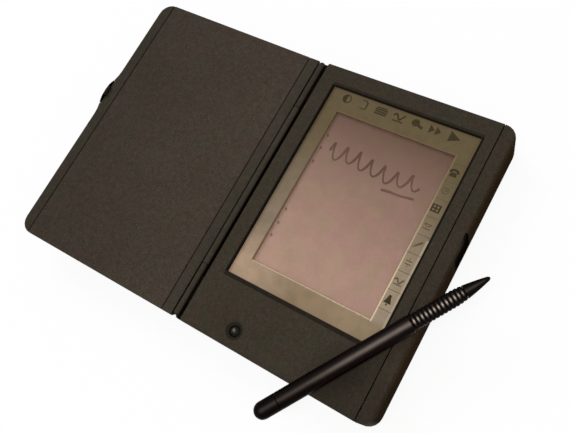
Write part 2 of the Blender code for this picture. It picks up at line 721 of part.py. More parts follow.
def notch_mouth():
    """Cutter that opens the upper end of the notch through the top of the rail."""
    high_y = LATCH_Y + NOTCH_LENGTH / 2 - NOTCH_MOUTH_MARGIN
    low_z = BODY_HEIGHT - NOTCH_DROP - EMBED
    low = (HALF_WIDTH - NOTCH_MOUTH_DEPTH, high_y - NOTCH_MOUTH_LENGTH, low_z)
    return box("notch_mouth", low, (HALF_WIDTH + OVERRUN, high_y, BODY_HEIGHT + OVERRUN))


def make_lower_case():
    """Tub of the body: floor, walls, screw posts, bay wall, brackets, contact ribs and notch."""
    case = prism("bottom_case", body_outline(), 0, LOWER_CASE_HEIGHT, "casing")
    round_rim(case, BASE_RIM_RADIUS, 0)
    door_room = DOOR_THICKNESS + GAP
    bay_rib_base = door_room + EMBED
    spine_x = (SPINE_X + WALL, -INNER_X + EMBED)
    spine_top = LOWER_CASE_HEIGHT + OVERRUN
    cut(
        case,
        prism("lower_case_hollow", body_outline(WALL, -INNER_X), FLOOR, LOWER_CASE_HEIGHT + OVERRUN),
        boxes(
            "lower_spine_hollows",
            [
                ((spine_x[0], GAP - INNER_Y, 0), (spine_x[1], BAY_WALL_LOW_Y - WALL, spine_top)),
                ((spine_x[0], BAY_WALL_HIGH_Y + WALL, FLOOR + GAP), (spine_x[1], INNER_Y - GAP, spine_top)),
            ],
        ),
        box(
            "door_room",
            (SPINE_X - OVERRUN, -HALF_LENGTH - OVERRUN, -OVERRUN),
            (HALF_WIDTH + OVERRUN, BAY_WALL_LOW_Y, door_room),
        ),
    )
    bracket_y = (-INNER_Y - EMBED, SWITCH_BOARD_HIGH_Y)
    front_rib_y = (-INNER_Y - EMBED, FRONT_ROW_Y + CELL_RADIUS - GAP)
    back_rib_x = BACK_SPRING_X - CONTACT_STACK - CELL_RIB
    left_rib_x = FRONT_SPRING_X - CONTACT_STACK - CELL_RIB
    right_rib_x = FRONT_ROW_END_X + CONTACT_STACK
    inner = [
        (
            (-INNER_X - EMBED, BAY_WALL_LOW_Y + GAP, FLOOR - EMBED),
            (INNER_X + EMBED, BAY_WALL_HIGH_Y, BAY_WALL_HEIGHT),
        ),
        (
            (left_rib_x, front_rib_y[0], bay_rib_base),
            (left_rib_x + CELL_RIB, front_rib_y[1], LOWER_CASE_HEIGHT - EMBED),
        ),
        (
            (right_rib_x, front_rib_y[0], bay_rib_base),
            (right_rib_x + CELL_RIB, front_rib_y[1], LOWER_CASE_HEIGHT - EMBED),
        ),
        (
            (SWITCH_BOARD_LOW_X, bracket_y[0], LOWER_CASE_HEIGHT - BRACKET_WIDTH),
            (SWITCH_BOARD_LOW_X + BRACKET_WIDTH, bracket_y[1], LOWER_CASE_HEIGHT),
        ),
        (
            (SWITCH_BOARD_HIGH_X - BRACKET_WIDTH, bracket_y[0], LOWER_CASE_HEIGHT - BRACKET_WIDTH),
            (SWITCH_BOARD_HIGH_X, bracket_y[1], LOWER_CASE_HEIGHT),
        ),
    ]
    join(
        case,
        boxes("lower_case_ribs", inner),
        box(
            "back_row_rib",
            (back_rib_x, BACK_ROW_Y - CELL_RADIUS, bay_rib_base),
            (back_rib_x + CELL_RIB, BAY_WALL_HIGH_Y - GAP, BAY_WALL_HEIGHT - EMBED),
        ),
        rods("lower_screw_posts", SCREW_PLACES, LOWER_POST_RADIUS, FLOOR - EMBED, LOWER_CASE_HEIGHT),
        rods("board_posts", BOARD_POSTS, BOARD_POST_RADIUS, FLOOR - EMBED, BOARD_BASE - GAP),
        notch_housing("lower_notch_housing", FLOOR - EMBED, LOWER_CASE_HEIGHT),
    )
    tab_z = FLOOR + GAP
    tab_slots = [
        (
            (share * HALF_WIDTH - DOOR_TAB_WIDTH / 2 - GAP, BAY_WALL_LOW_Y - OVERRUN, FLOOR),
            (
                share * HALF_WIDTH + DOOR_TAB_WIDTH / 2 + GAP,
                BAY_WALL_HIGH_Y + OVERRUN,
                tab_z + DOOR_TAB_THICKNESS + GAP,
            ),
        )
        for share in DOOR_TAB_SHARES
    ]
    eject_hole = (
        (EJECT_LOW_X - GAP, INNER_Y - OVERRUN, EJECT_LOW_Z - GAP),
        (EJECT_HIGH_X + GAP, HALF_LENGTH + OVERRUN, EJECT_LOW_Z + EJECT_HEAD_HEIGHT + GAP),
    )
    card_mouth = ((SLOT_LOW_X, INNER_Y - OVERRUN, CAGE_BASE), (SLOT_HIGH_X, HALF_LENGTH + OVERRUN, SLOT_TOP))
    cut(
        case,
        rods("screw_recesses", SCREW_PLACES, SCREW_HEAD_RADIUS + GAP, -OVERRUN, SCREW_RECESS),
        rods("screw_bores", SCREW_PLACES, SCREW_BORE, -OVERRUN, LOWER_CASE_HEIGHT + OVERRUN),
        boxes("lower_case_openings", tab_slots + [eject_hole, card_mouth]),
        notch_cutter("lower_notch", NOTCH_BASE, LOWER_CASE_HEIGHT + OVERRUN),
    )


def make_upper_shell(name, outline, seam_x):
    """One of the two covers over the tub: an outline of the body's plan with the inside taken out."""
    shell = prism(name, outline, UPPER_CASE_BASE, BODY_HEIGHT, "casing")
    round_rim(shell, RIM_RADIUS, BODY_HEIGHT, seam=seam_x)
    hollow_outline = body_outline(WALL, -INNER_X)
    cut(shell, prism(name + "_hollow", hollow_outline, UPPER_CASE_BASE - OVERRUN, DECK_UNDERSIDE))
    return shell


def make_upper_case():
    """Deck with the window, the power button's dish, screw posts and the groove for the hinge."""
    deck = make_upper_shell("top_case", clipped(body_outline(), 0, DECK_EDGE_X, True), DECK_EDGE_X)
    rib_y = (-INNER_Y - EMBED, OVERLAY_LOW[1] - GAP)
    rib_z = (CELL_TOP + GAP, DECK_UNDERSIDE + EMBED)
    ribs = [
        ((share * HALF_WIDTH, rib_y[0], rib_z[0]), (share * HALF_WIDTH + CELL_RIB, rib_y[1], rib_z[1]))
        for share in CELL_RIB_SHARES
    ]
    place = [(BUTTON_X, BUTTON_Y)]
    root_z = DECK_UNDERSIDE + EMBED
    join(
        deck,
        rods("upper_screw_posts", SCREW_PLACES, UPPER_POST_RADIUS, UPPER_CASE_BASE, root_z),
        rods("button_boss", place, BUTTON_BOSS_RADIUS, BUTTON_BOSS_BASE, root_z, steps=TURN_STEPS),
        boxes("cell_ribs", ribs),
    )
    window = rounded_rectangle(WINDOW_LOW, WINDOW_HIGH, WINDOW_CORNER_RADIUS, WINDOW_CORNER_RADIUS)
    groove_x = -INNER_X - GROOVE_WALL
    tongues = [
        (
            (groove_x - OVERRUN, low_y - GAP, HINGE_Z - TONGUE_DROP - TONGUE_THICKNESS - GAP),
            (-INNER_X + OVERRUN, low_y + TONGUE_WIDTH + GAP, HINGE_Z - TONGUE_DROP + GAP),
        )
        for low_y in (KNUCKLE_START + TONGUE_INSET, -KNUCKLE_START - TONGUE_INSET - TONGUE_WIDTH)
    ]
    serial_room = (
        (SERIAL_LOW_X - GAP, INNER_Y - OVERRUN, UPPER_CASE_BASE - OVERRUN),
        (SERIAL_HIGH_X + GAP, HALF_LENGTH + OVERRUN, SERIAL_TOP + GAP),
    )
    cut(
        deck,
        box(
            "upper_spine_hollow",
            (SPINE_X + WALL, GAP - INNER_Y, UPPER_CASE_BASE - OVERRUN),
            (-INNER_X + EMBED, INNER_Y - GAP, GROOVE_FLOOR - DECK),
        ),
        box(
            "hinge_groove",
            (SPINE_X - OVERRUN, -HALF_LENGTH - OVERRUN, GROOVE_FLOOR),
            (groove_x, HALF_LENGTH + OVERRUN, BODY_HEIGHT + OVERRUN),
        ),
        prism("window", window, DECK_UNDERSIDE - OVERRUN, BODY_HEIGHT + OVERRUN),
        rods("post_bores", SCREW_PLACES, SCREW_BORE, UPPER_CASE_BASE - OVERRUN, SCREW_TOP + GAP),
        rods(
            "button_hole",
            place,
            BUTTON_HOLE_RADIUS,
            BUTTON_BOSS_BASE - OVERRUN,
            BODY_HEIGHT,
            steps=TURN_STEPS,
        ),
        rods(
            "button_dish",
            place,
            BUTTON_HOLE_RADIUS,
            BODY_HEIGHT - DISH_DEPTH,
            BODY_HEIGHT + DISH_DEPTH,
            steps=TURN_STEPS,
            top_radius=DISH_RADIUS * 2 - BUTTON_HOLE_RADIUS,
        ),
        boxes("upper_case_openings", tongues + [serial_room]),
    )


def make_side_rail():
    """Cover strip along the outer side, with the upper part of the notch for the latch."""
    rail = make_upper_shell("side_rail", clipped(body_outline(), 0, RAIL_EDGE_X, False), RAIL_EDGE_X)
    join(rail, notch_housing("upper_notch_housing", UPPER_CASE_BASE, DECK_UNDERSIDE + EMBED))
    cut(rail, notch_cutter("upper_notch", UPPER_CASE_BASE - OVERRUN, BODY_HEIGHT - NOTCH_DROP), notch_mouth())


def make_battery_door():
    """Door in the underside: the lower end of the floor, with catch tabs and finger grooves."""
    outline = clipped(body_outline(), 1, DOOR_EDGE_Y, True)
    door = prism("battery_door", outline, 0, DOOR_THICKNESS, "casing")
    round_rim(door, BASE_RIM_RADIUS, 0, seam_axis=1, seam=DOOR_EDGE_Y)
    tab_base = FLOOR + GAP
    tab_end = BAY_WALL_LOW_Y + DOOR_TAB_REACH - SEAM
    tabs = []
    for share in DOOR_TAB_SHARES:
        low_x = share * HALF_WIDTH - DOOR_TAB_WIDTH / 2
        high_x = low_x + DOOR_TAB_WIDTH
        root_y = DOOR_EDGE_Y - DOOR_TAB_ROOT
        outline = (
            (root_y, DOOR_THICKNESS - EMBED),
            (DOOR_EDGE_Y - GAP, DOOR_THICKNESS - EMBED),
            (DOOR_EDGE_Y - GAP, tab_base),
            (tab_end, tab_base),
            (tab_end, tab_base + DOOR_TAB_THICKNESS),
            (root_y, tab_base + DOOR_TAB_THICKNESS),
        )
        tabs.append(prism("door_tab", outline, low_x, high_x, plane="YZ"))
    join(door, *tabs)
    first_y = DOOR_GROOVE_EDGE - HALF_LENGTH
    half = DOOR_GROOVE_LENGTH / 2
    low_ys = [first_y + DOOR_GROOVE_PITCH * index for index in range(DOOR_GROOVE_COUNT)]
    grooves = [
        ((-half, low_y, -OVERRUN), (half, low_y + DOOR_GROOVE_WIDTH, DOOR_GROOVE_DEPTH)) for low_y in low_ys
    ]
    cut(door, boxes("door_grooves", grooves))


def make_screen():
    """Overlay mask, touch panel, LCD glass in its frame, and the ribbon to the board."""
    overlay = box("screen_overlay", (*OVERLAY_LOW, OVERLAY_BASE), (*OVERLAY_HIGH, OVERLAY_TOP), "overlay")
    opening_low = (*SCREEN_LOW, OVERLAY_BASE - OVERRUN)
    opening_high = (*SCREEN_HIGH, OVERLAY_TOP + OVERRUN)
    cut(overlay, flared_box("screen_opening", opening_low, opening_high, OVERLAY_BASE))
    box("touch_panel", (*OVERLAY_LOW, TOUCH_BASE), (*OVERLAY_HIGH, TOUCH_TOP), "clear_glass")

    def around_screen(margin, low_z, high_z):
        low = (SCREEN_LOW[0] - margin, SCREEN_LOW[1] - margin, low_z)
        high = (SCREEN_HIGH[0] + margin, SCREEN_HIGH[1] + margin, high_z)
        return low, high

    lip_base = LCD_TOP - LCD_FRAME_LIP
    glass_top = lip_base - GAP
    frame = box("lcd_frame", *around_screen(LCD_FRAME_BORDER, LCD_BASE, LCD_TOP), "steel")
    cut(
        frame,
        box("lcd_seat", *around_screen(LCD_GLASS_BORDER + GAP, LCD_BASE - OVERRUN, lip_base)),
        box("lcd_view", *around_screen(LCD_LIP_SETBACK, LCD_BASE - OVERRUN, LCD_TOP + OVERRUN)),
    )
    glass = box(
        "lcd_glass",
        *around_screen(LCD_GLASS_BORDER, glass_top - LCD_GLASS_THICKNESS, glass_top),
        "lcd",
    )
    join(glass, box("display_pane", *around_screen(LCD_LIP_SETBACK - GAP, glass_top - EMBED, LCD_TOP)))

    half = RIBBON_THICKNESS / 2
    high_z = LCD_TOP - RIBBON_START_DEPTH
    low_z = CHIP_BASE + half
    middle_z = (high_z + low_z) / 2
    bend = (high_z - low_z) / 2
    start_x = SCREEN_HIGH[0] + LCD_FRAME_BORDER + GAP
    bend_x = start_x + GAP
    quarter = math.pi / 2
    outer = arc(bend_x, middle_z, bend + half, quarter, -quarter, ARC_STEPS * 2)
    inner = arc(bend_x, middle_z, bend - half, -quarter, quarter, ARC_STEPS * 2)
    ribbon = (
        [(start_x, high_z + half)]
        + outer
        + [(bend_x - RIBBON_TAIL, low_z - half), (bend_x - RIBBON_TAIL, low_z + half)]
        + inner
        + [(start_x, high_z - half)]
    )
    low_y = (SCREEN_LOW[1] + SCREEN_HIGH[1] - RIBBON_WIDTH) / 2
    prism("lcd_ribbon", ribbon, low_y, low_y + RIBBON_WIDTH, "ribbon", plane="XZ")


def make_board():
    """Main board, and the chips that stand on it."""
    box("main_board", (*BOARD_LOW, BOARD_BASE), (*BOARD_HIGH, BOARD_TOP), "board")
    chips = (
        ("processor_chip", PROCESSOR_SIDE, PROCESSOR_SIDE, PROCESSOR_PLACE_SHARES, "chip"),
        ("rom_chip", ROM_WIDTH, ROM_LENGTH, ROM_PLACE_SHARES, "chip"),
        ("ram_chip_1", RAM_WIDTH, RAM_LENGTH, RAM_1_PLACE_SHARES, "chip"),
        ("ram_chip_2", RAM_WIDTH, RAM_LENGTH, RAM_2_PLACE_SHARES, "chip"),
        ("interface_chip", INTERFACE_SIDE, INTERFACE_SIDE, INTERFACE_PLACE_SHARES, "chip"),
        ("quartz_crystal", CRYSTAL_WIDTH, CRYSTAL_LENGTH, CRYSTAL_PLACE_SHARES, "nickel"),
    )
    for name, width, length, shares, look in chips:
        x = BOARD_LOW[0] + (BOARD_HIGH[0] - BOARD_LOW[0]) * shares[0]
        y = BOARD_LOW[1] + (BOARD_HIGH[1] - BOARD_LOW[1]) * shares[1]
        low = (x - width / 2, y - length / 2, CHIP_BASE)
        high = (x + width / 2, y + length / 2, CHIP_BASE + CHIP_HEIGHT)
        box(name, low, high, look)


def make_card_cage():
    """Sheet-metal cage for a memory card, its pin connector, and the slider that ejects a card."""
    cage = box(
        "card_cage",
        (SLOT_LOW_X - CAGE_SIDE, CAGE_END_Y, CAGE_BASE),
        (SLOT_HIGH_X + CAGE_SIDE, CAGE_MOUTH_Y, CAGE_TOP),
        "steel",
    )
    cut(
        cage,
        box(
            "card_room",
            (SLOT_LOW_X, CAGE_END_Y - OVERRUN, CAGE_BASE - OVERRUN),
            (SLOT_HIGH_X, CAGE_MOUTH_Y + OVERRUN, SLOT_TOP),
        ),
    )
    box(
        "card_connector",
        (SLOT_LOW_X + GAP, CAGE_END_Y, CAGE_BASE),
        (SLOT_HIGH_X - GAP, CAGE_END_Y + CARD_CONNECTOR_DEPTH, SLOT_TOP - GAP),
        "ivory_plastic",
    )
    head_y = HALF_LENGTH - PORT_RECESS
    rod_x = EJECT_LOW_X + GAP
    rod_z = EJECT_LOW_Z + GAP
    slider = box(
        "card_eject_button",
        (EJECT_LOW_X, head_y - EJECT_HEAD_DEPTH, EJECT_LOW_Z),
        (EJECT_HIGH_X, head_y, EJECT_LOW_Z + EJECT_HEAD_HEIGHT),
        "black_plastic",
    )
    rod = box(
        "eject_rod",
        (rod_x, head_y - EJECT_ROD_LENGTH, rod_z),
        (rod_x + EJECT_ROD_WIDTH, head_y - EJECT_HEAD_DEPTH + EMBED, rod_z + EJECT_ROD_HEIGHT),
    )
    join(slider, rod)


def make_serial_port():
    """Socket on the board's upper edge, open through the case wall."""
    port = box(
        "serial_port",
        (SERIAL_LOW_X, SERIAL_LOW_Y, CHIP_BASE),
        (SERIAL_HIGH_X, SERIAL_HIGH_Y, SERIAL_TOP),
        "black_plastic",
    )
    cut(
        port,
        box(
            "serial_room",
            (SERIAL_LOW_X + SERIAL_WALL, SERIAL_LOW_Y + SERIAL_BACK, CHIP_BASE + SERIAL_WALL),
            (SERIAL_HIGH_X - SERIAL_WALL, SERIAL_HIGH_Y + OVERRUN, SERIAL_TOP - SERIAL_WALL),
        ),
    )


def make_sounder():
    """Piezo disc on the floor, beside the card cage."""
    rods(
        "sounder_disc",
        [(0, SOUNDER_Y)],
        SOUNDER_RADIUS,
        CAGE_BASE,
        CAGE_BASE + SOUNDER_THICKNESS,
        "brass",
        steps=TURN_STEPS,
    )


def make_cell(name, end_x, row_y):
    """A round cell along X, with its nub at the given end."""
    shoulder = CELL_LENGTH - CELL_NUB_LENGTH
    profile = [
        (0, CELL_LENGTH),
        (CELL_NUB_RADIUS, CELL_LENGTH),
        (CELL_NUB_RADIUS, shoulder),
        (CELL_RADIUS - CELL_EDGE_RADIUS, shoulder),
        (CELL_RADIUS, shoulder - CELL_EDGE_RADIUS),
        (CELL_RADIUS, CELL_EDGE_RADIUS),
        (CELL_RADIUS - CELL_EDGE_RADIUS, 0),
        (0, 0),
    ]
    cell = turned(name, profile, "cell_wrap")
    cell.location = (end_x - CELL_LENGTH, row_y, CELL_Z)
    cell.rotation_euler = (0, math.pi / 2, 0)


def make_contact_plate(name, low_x, row_y):
    """A flat sprung plate at one end of a row of cells."""
    half = CONTACT_WIDTH / 2
    low = (low_x, row_y - half, CELL_Z - half)
    high = (low_x + CONTACT_THICKNESS, row_y + half, CELL_Z + half)
    box(name, low, high, "nickel")


def make_power():
    """Three cells in two rows, with a plate and a spring at the ends of each row."""
    make_cell("battery_cell_1", BACK_ROW_END_X, BACK_ROW_Y)
    make_cell("battery_cell_2", BACK_ROW_END_X - CELL_LENGTH - GAP, BACK_ROW_Y)
    make_cell("battery_cell_3", FRONT_ROW_END_X, FRONT_ROW_Y)
    rows = ((BACK_ROW_END_X, BACK_SPRING_X, BACK_ROW_Y), (FRONT_ROW_END_X, FRONT_SPRING_X, FRONT_ROW_Y))
    for number, (end_x, spring_x, row_y) in enumerate(rows, start=1):
        make_contact_plate(f"contact_plate_{number * 2 - 1}", end_x + GAP, row_y)
        make_contact_plate(f"contact_plate_{number * 2}", spring_x - GAP - CONTACT_THICKNESS, row_y)
        coil(
            f"contact_spring_{number}",
            (spring_x, row_y, CELL_Z),
            CONTACT_SPRING_LENGTH,
            CONTACT_SPRING_RADIUS,
            CONTACT_WIRE_RADIUS,
            CONTACT_SPRING_TURNS,
            "steel",
        )


def make_power_button():
    """Domed button in its dish, the switch under it, and the small board that carries the switch."""
    dome_angle = 2 * math.atan(BUTTON_DOME / BUTTON_RADIUS)
    dome_radius = BUTTON_RADIUS / math.sin(dome_angle)
    upright = math.pi / 2
    dome = arc(0, BUTTON_TOP - dome_radius, dome_radius, upright, upright - dome_angle, DOME_STEPS)
    dome[0] = (0, BUTTON_TOP)
    profile = dome + [
        (BUTTON_RADIUS, BUTTON_FLANGE_TOP),
        (BUTTON_FLANGE_RADIUS, BUTTON_FLANGE_TOP),
        (BUTTON_FLANGE_RADIUS, BUTTON_FLANGE_BASE),
        (0, BUTTON_FLANGE_BASE),
    ]
    button = turned("power_button", profile, "gloss_black")
    button.location = (BUTTON_X, BUTTON_Y, 0)
    half = SWITCH_SIDE / 2
    plunger_base = SWITCH_TOP - SWITCH_PLUNGER_HEIGHT
    switch = box(
        "power_switch",
        (BUTTON_X - half, BUTTON_Y - half, SWITCH_BASE),
        (BUTTON_X + half, BUTTON_Y + half, plunger_base),
        "black_plastic",
    )
    plunger = rods("plunger", [(BUTTON_X, BUTTON_Y)], SWITCH_PLUNGER_RADIUS, plunger_base - EMBED, SWITCH_TOP)
    join(switch, plunger)
    box(
        "switch_board",
        (SWITCH_BOARD_LOW_X, SWITCH_BOARD_LOW_Y, SWITCH_BOARD_BASE),
        (SWITCH_BOARD_HIGH_X, SWITCH_BOARD_HIGH_Y, SWITCH_BOARD_TOP),
        "board",
    )


def make_backup_cell():
    """Coin cell in a holder under the switch board, reached through the battery door."""
    half = BACKUP_HALF_SIDE
    holder = box(
        "backup_cell_holder",
        (BUTTON_X - half, BACKUP_Y - half, BACKUP_HOLDER_BASE),
        (BUTTON_X + half, BACKUP_Y + half, SWITCH_BOARD_BASE - GAP),
        "ivory_plastic",
    )
    place = [(BUTTON_X, BACKUP_Y)]
    cell_top = BACKUP_CELL_BASE + BACKUP_CELL_THICKNESS
    cut(
        holder,
        rods(
            "backup_cell_room",
            place,
            BACKUP_CELL_RADIUS + GAP,
            BACKUP_HOLDER_BASE - OVERRUN,
            cell_top + GAP,
            steps=TURN_STEPS,
        ),
    )
    rods("backup_cell", place, BACKUP_CELL_RADIUS, BACKUP_CELL_BASE, cell_top, "nickel", steps=TURN_STEPS)


def make_screws():
    """Four slotted screws that go up through the tub into the deck's posts."""
    head_top = SCREW_HEAD_SINK + SCREW_HEAD_HEIGHT
    profile = [
        (0, SCREW_TOP),
        (SCREW_RADIUS, SCREW_TOP),
        (SCREW_RADIUS, head_top),
        (SCREW_HEAD_RADIUS, head_top),
        (SCREW_HEAD_RADIUS, SCREW_HEAD_SINK),
        (0, SCREW_HEAD_SINK),
    ]
    for number, (x, y) in enumerate(SCREW_PLACES, start=1):
        screw = turned(f"case_screw_{number}", profile, "steel", steps=SMALL_STEPS)
        screw.location = (x, y, 0)
        slot = box(
            f"screw_slot_{number}",
            (x - SCREW_HEAD_RADIUS - OVERRUN, y - SCREW_SLOT_WIDTH / 2, SCREW_HEAD_SINK - OVERRUN),
            (x + SCREW_HEAD_RADIUS + OVERRUN, y + SCREW_SLOT_WIDTH / 2, SCREW_HEAD_SINK + SCREW_SLOT_DEPTH),
        )
        cut(screw, slot)


def make_knuckles():
    """The two hinge knuckles on the body, each held by a tongue through the deck's wall."""
    bore = HINGE_PIN_RADIUS + GAP
    end_radius = BARREL_RADIUS * KNUCKLE_END_SHARE
    end = arc(
        BARREL_RADIUS - end_radius,
        KNUCKLE_END - end_radius,
        end_radius,
        math.pi / 2,
        0,
        ARC_STEPS,
    )
    profile = [(0, KNUCKLE_END)] + end
    profile += [(BARREL_RADIUS, KNUCKLE_START), (bore, KNUCKLE_START)]
    profile += [(bore, KNUCKLE_BORE_END), (0, KNUCKLE_BORE_END)]
    tongue_z = (HINGE_Z - TONGUE_DROP - TONGUE_THICKNESS, HINGE_Z - TONGUE_DROP)
    for name, side in (("hinge_knuckle_upper", 1), ("hinge_knuckle_lower", -1)):
        knuckle = turned(name, profile, "casing")
        knuckle.location = (HINGE_X, 0, HINGE_Z)
        knuckle.rotation_euler = (-side * math.pi / 2, 0, 0)
        near_y = KNUCKLE_START + TONGUE_INSET
        ends_y = sorted(side * y for y in (near_y, near_y + TONGUE_WIDTH))
        tongue = box(
            name + "_tongue",
            (HINGE_X + EMBED, ends_y[0], tongue_z[0]),
            (-HALF_WIDTH + TONGUE_REACH, ends_y[1], tongue_z[1]),
        )
        join(knuckle, tongue)


def lid_outline(inset=0, bulge=True, hinge_radius=0):
    """Plan of the lid in its own frame, with the swelling round the latch in its outer edge."""
    low = (inset - LID_REACH, inset - HALF_LENGTH)
    high = (-LID_START - inset, HALF_LENGTH - inset)
    outline = rounded_rectangle(low, high, OUTER_CORNER_RADIUS - inset, hinge_radius - inset)
    if bulge:
        steps = ARC_STEPS * 2
        for index in range(steps + 1):
            share = 1 - 2 * index / steps
            height = BULGE_HEIGHT * (1 + math.cos(math.pi * share)) / 2
            outline.append((low[0] - height, LATCH_Y + BULGE_HALF_LENGTH * share))
    return outline


def make_lid_shell(axis):
    """Outer shell of the lid: floor, walls, two ribs and the slot for the latch."""
    outline = lid_outline(hinge_radius=HINGE_CORNER_RADIUS)
    shell = prism("lid_shell", outline, LID_BACK, LID_SHELL_TOP, "casing")
    round_rim(shell, RIM_RADIUS, LID_BACK)
    hollow = prism("lid_hollow", lid_outline(LID_WALL, False), LID_CAVITY_BASE, LID_SHELL_TOP + OVERRUN)
    ribs = [
        (
            (LID_WALL - LID_REACH - EMBED, share * HALF_LENGTH, LID_CAVITY_BASE - EMBED),
            (-LID_START - LID_WALL + EMBED, share * HALF_LENGTH + LID_RIB, LID_SHELL_TOP - GAP),
        )
        for share in LID_RIB_SHARES
    ]
    rib_tool = boxes("lid_ribs", ribs)
    slot = box(
        "latch_slot",
        (
            -LID_REACH - OVERRUN,
            LATCH_Y - SHANK_WIDTH / 2 - GAP,
            CAVITY_MIDDLE - SHANK_THICKNESS / 2 - GAP,
        ),
        (LID_WALL - LID_REACH + OVERRUN, LATCH_Y + SHANK_WIDTH / 2 + GAP, LID_SHELL_TOP + OVERRUN),
    )
    pocket = make_latch_pocket("shell_latch_pocket")
    cut(shell, hollow)
    join(shell, rib_tool)
    cut(shell, slot, pocket)
    attach(axis, shell, hollow, rib_tool, slot, pocket)


def make_latch_pocket(name):
    """Cutter for the flat seat that the latch lies in, across the swelling."""
    half = LATCH_LENGTH / 2 + GAP
    return box(
        name,
        (-LID_REACH - BULGE_HEIGHT - OVERRUN, LATCH_Y - half, LID_BACK - OVERRUN),
        (-LID_REACH - LATCH_SEAT, LATCH_Y + half, OVERRUN),
    )


def make_lid_plates(axis):
    """The lid's inner face: a broad panel between the hinge strip and the outer edge strip."""
    panel_outline = clipped(lid_outline(), 0, -HINGE_STRIP_EDGE - SEAM, True)
    panel_outline = clipped(panel_outline, 0, -EDGE_STRIP_EDGE + SEAM, False)
    panel = prism("lid_panel", panel_outline, LID_PLATE_BASE, LID_FACE, "lid_panel")
    round_rim(panel, LID_EDGE_RADIUS, LID_FACE, steps=1)
    strip_outline = clipped(lid_outline(), 0, -EDGE_STRIP_EDGE, True)
    strip = prism("lid_edge_strip", strip_outline, LID_PLATE_BASE, LID_FACE, "casing")
    round_rim(strip, LID_EDGE_RADIUS, LID_FACE, steps=1)
    pocket = make_latch_pocket("strip_latch_pocket")
    cut(strip, pocket)
    attach(axis, panel, strip, pocket)


def make_hinge_strip(axis):
    """Strip along the hinge, one solid with the long barrel and its web, and the two hinge pins."""
    outline = clipped(lid_outline(), 0, -HINGE_STRIP_EDGE, False)
    strip = prism("lid_hinge_strip", outline, LID_PLATE_BASE, LID_FACE, "casing")
    round_rim(strip, LID_EDGE_RADIUS, LID_FACE, steps=1)
    web_z = (LID_PLATE_BASE + HINGE_WEB_INSET, LID_FACE - HINGE_WEB_INSET)
    web_x = (-LID_START - EMBED, HINGE_PIN_RADIUS - BARREL_RADIUS + GAP)
    half = BARREL_HALF_LENGTH
    low = (web_x[0], HINGE_WEB_INSET - half, web_z[0])
    high = (web_x[1], half - HINGE_WEB_INSET, web_z[1])
    barrel = rods("hinge_barrel", AXIS, BARREL_RADIUS, -half, half, steps=TURN_STEPS, along_y=True)
    tools = [box("hinge_web", low, high), barrel]
    join(strip, *tools)
    bore = HINGE_PIN_RADIUS + GAP
    depth = half - HINGE_PIN_REACH - GAP
    spans = ((depth, half + OVERRUN), (-half - OVERRUN, -depth))
    bores = [
        rods(f"pin_bore_{number}", AXIS, bore, low_y, high_y, along_y=True)
        for number, (low_y, high_y) in enumerate(spans, start=1)
    ]
    cut(strip, *bores)
    attach(axis, strip, *tools, *bores)
    pin_low = half - HINGE_PIN_REACH
    pin_high = KNUCKLE_BORE_END - GAP
    for name, low_y, high_y in (
        ("hinge_pin_upper", pin_low, pin_high),
        ("hinge_pin_lower", -pin_high, -pin_low),
    ):
        pin = rods(name, AXIS, HINGE_PIN_RADIUS, low_y, high_y, "steel", along_y=True)
        attach(axis, pin)


def make_latch(axis):
    """Sliding latch in the lid's outer edge, with its barb, and the two springs that draw it in."""
    half = LATCH_LENGTH / 2
    barb = BARB_LENGTH / 2
    top = LID_FACE + LATCH_RISE
    end_top = LID_FACE + LATCH_END_RISE
    base = LID_FACE - LATCH_FALL
    steps = ARC_STEPS * 2
    outline = [(LATCH_Y - half, base), (LATCH_Y + half, base)]
    for index in range(steps + 1):
        share = 1 - 2 * index / steps
        crest = 1 - abs(share) ** LATCH_CREST_POWER
        outline.append((LATCH_Y + half * share, end_top + (top - end_top) * crest))
    latch = prism("latch", outline, -LATCH_FACE - LATCH_THICKNESS, -LATCH_FACE, "black_plastic", plane="YZ")
    shank = SHANK_THICKNESS / 2
    tool = box(
        "latch_shank",
        (-LATCH_FACE - EMBED, LATCH_Y - SHANK_WIDTH / 2, CAVITY_MIDDLE - shank),
        (-FLANGE_FRONT + EMBED, LATCH_Y + SHANK_WIDTH / 2, CAVITY_MIDDLE + shank),
    )
    flange = box(
        "latch_flange",
        (-FLANGE_FRONT, LATCH_Y - half, LID_CAVITY_BASE + GAP),
        (-FLANGE_FRONT + FLANGE_THICKNESS, LATCH_Y + half, LID_PLATE_BASE - GAP),
    )
    barb_tool = box(
        "latch_barb",
        (-LATCH_FACE - EMBED, LATCH_Y - barb, top - BARB_DROP - BARB_HEIGHT),
        (-LATCH_FACE + BARB_REACH, LATCH_Y + barb, top - BARB_DROP),
    )
    join(latch, tool, flange, barb_tool)
    attach(axis, latch, tool, flange, barb_tool)
    for number, side in enumerate((-1, 1), start=1):
        spring_y = LATCH_Y + side * (half - LATCH_SPRING_INSET)
        start = (-FLANGE_FRONT - GAP - LATCH_SPRING_LENGTH, spring_y, CAVITY_MIDDLE)
        spring = coil(
            f"latch_spring_{number}",
            start,
            LATCH_SPRING_LENGTH,
            LATCH_SPRING_RADIUS,
            LATCH_SPRING_WIRE,
            LATCH_SPRING_TURNS,
            "steel",
        )
        attach(axis, spring)


def pen_radius(distance):
    """Outer radius of the grip and the tip at a distance from the pen's butt end."""
    share = (distance - PEN_LENGTH + PEN_TAPER_LENGTH) / (PEN_TAPER_LENGTH + PEN_POINT_OVERRUN)
    fall = max(share, 0) ** PEN_TAPER_POWER
    return PEN_TIP_RADIUS + (PEN_GRIP_RADIUS - PEN_TIP_RADIUS) * (1 - fall)


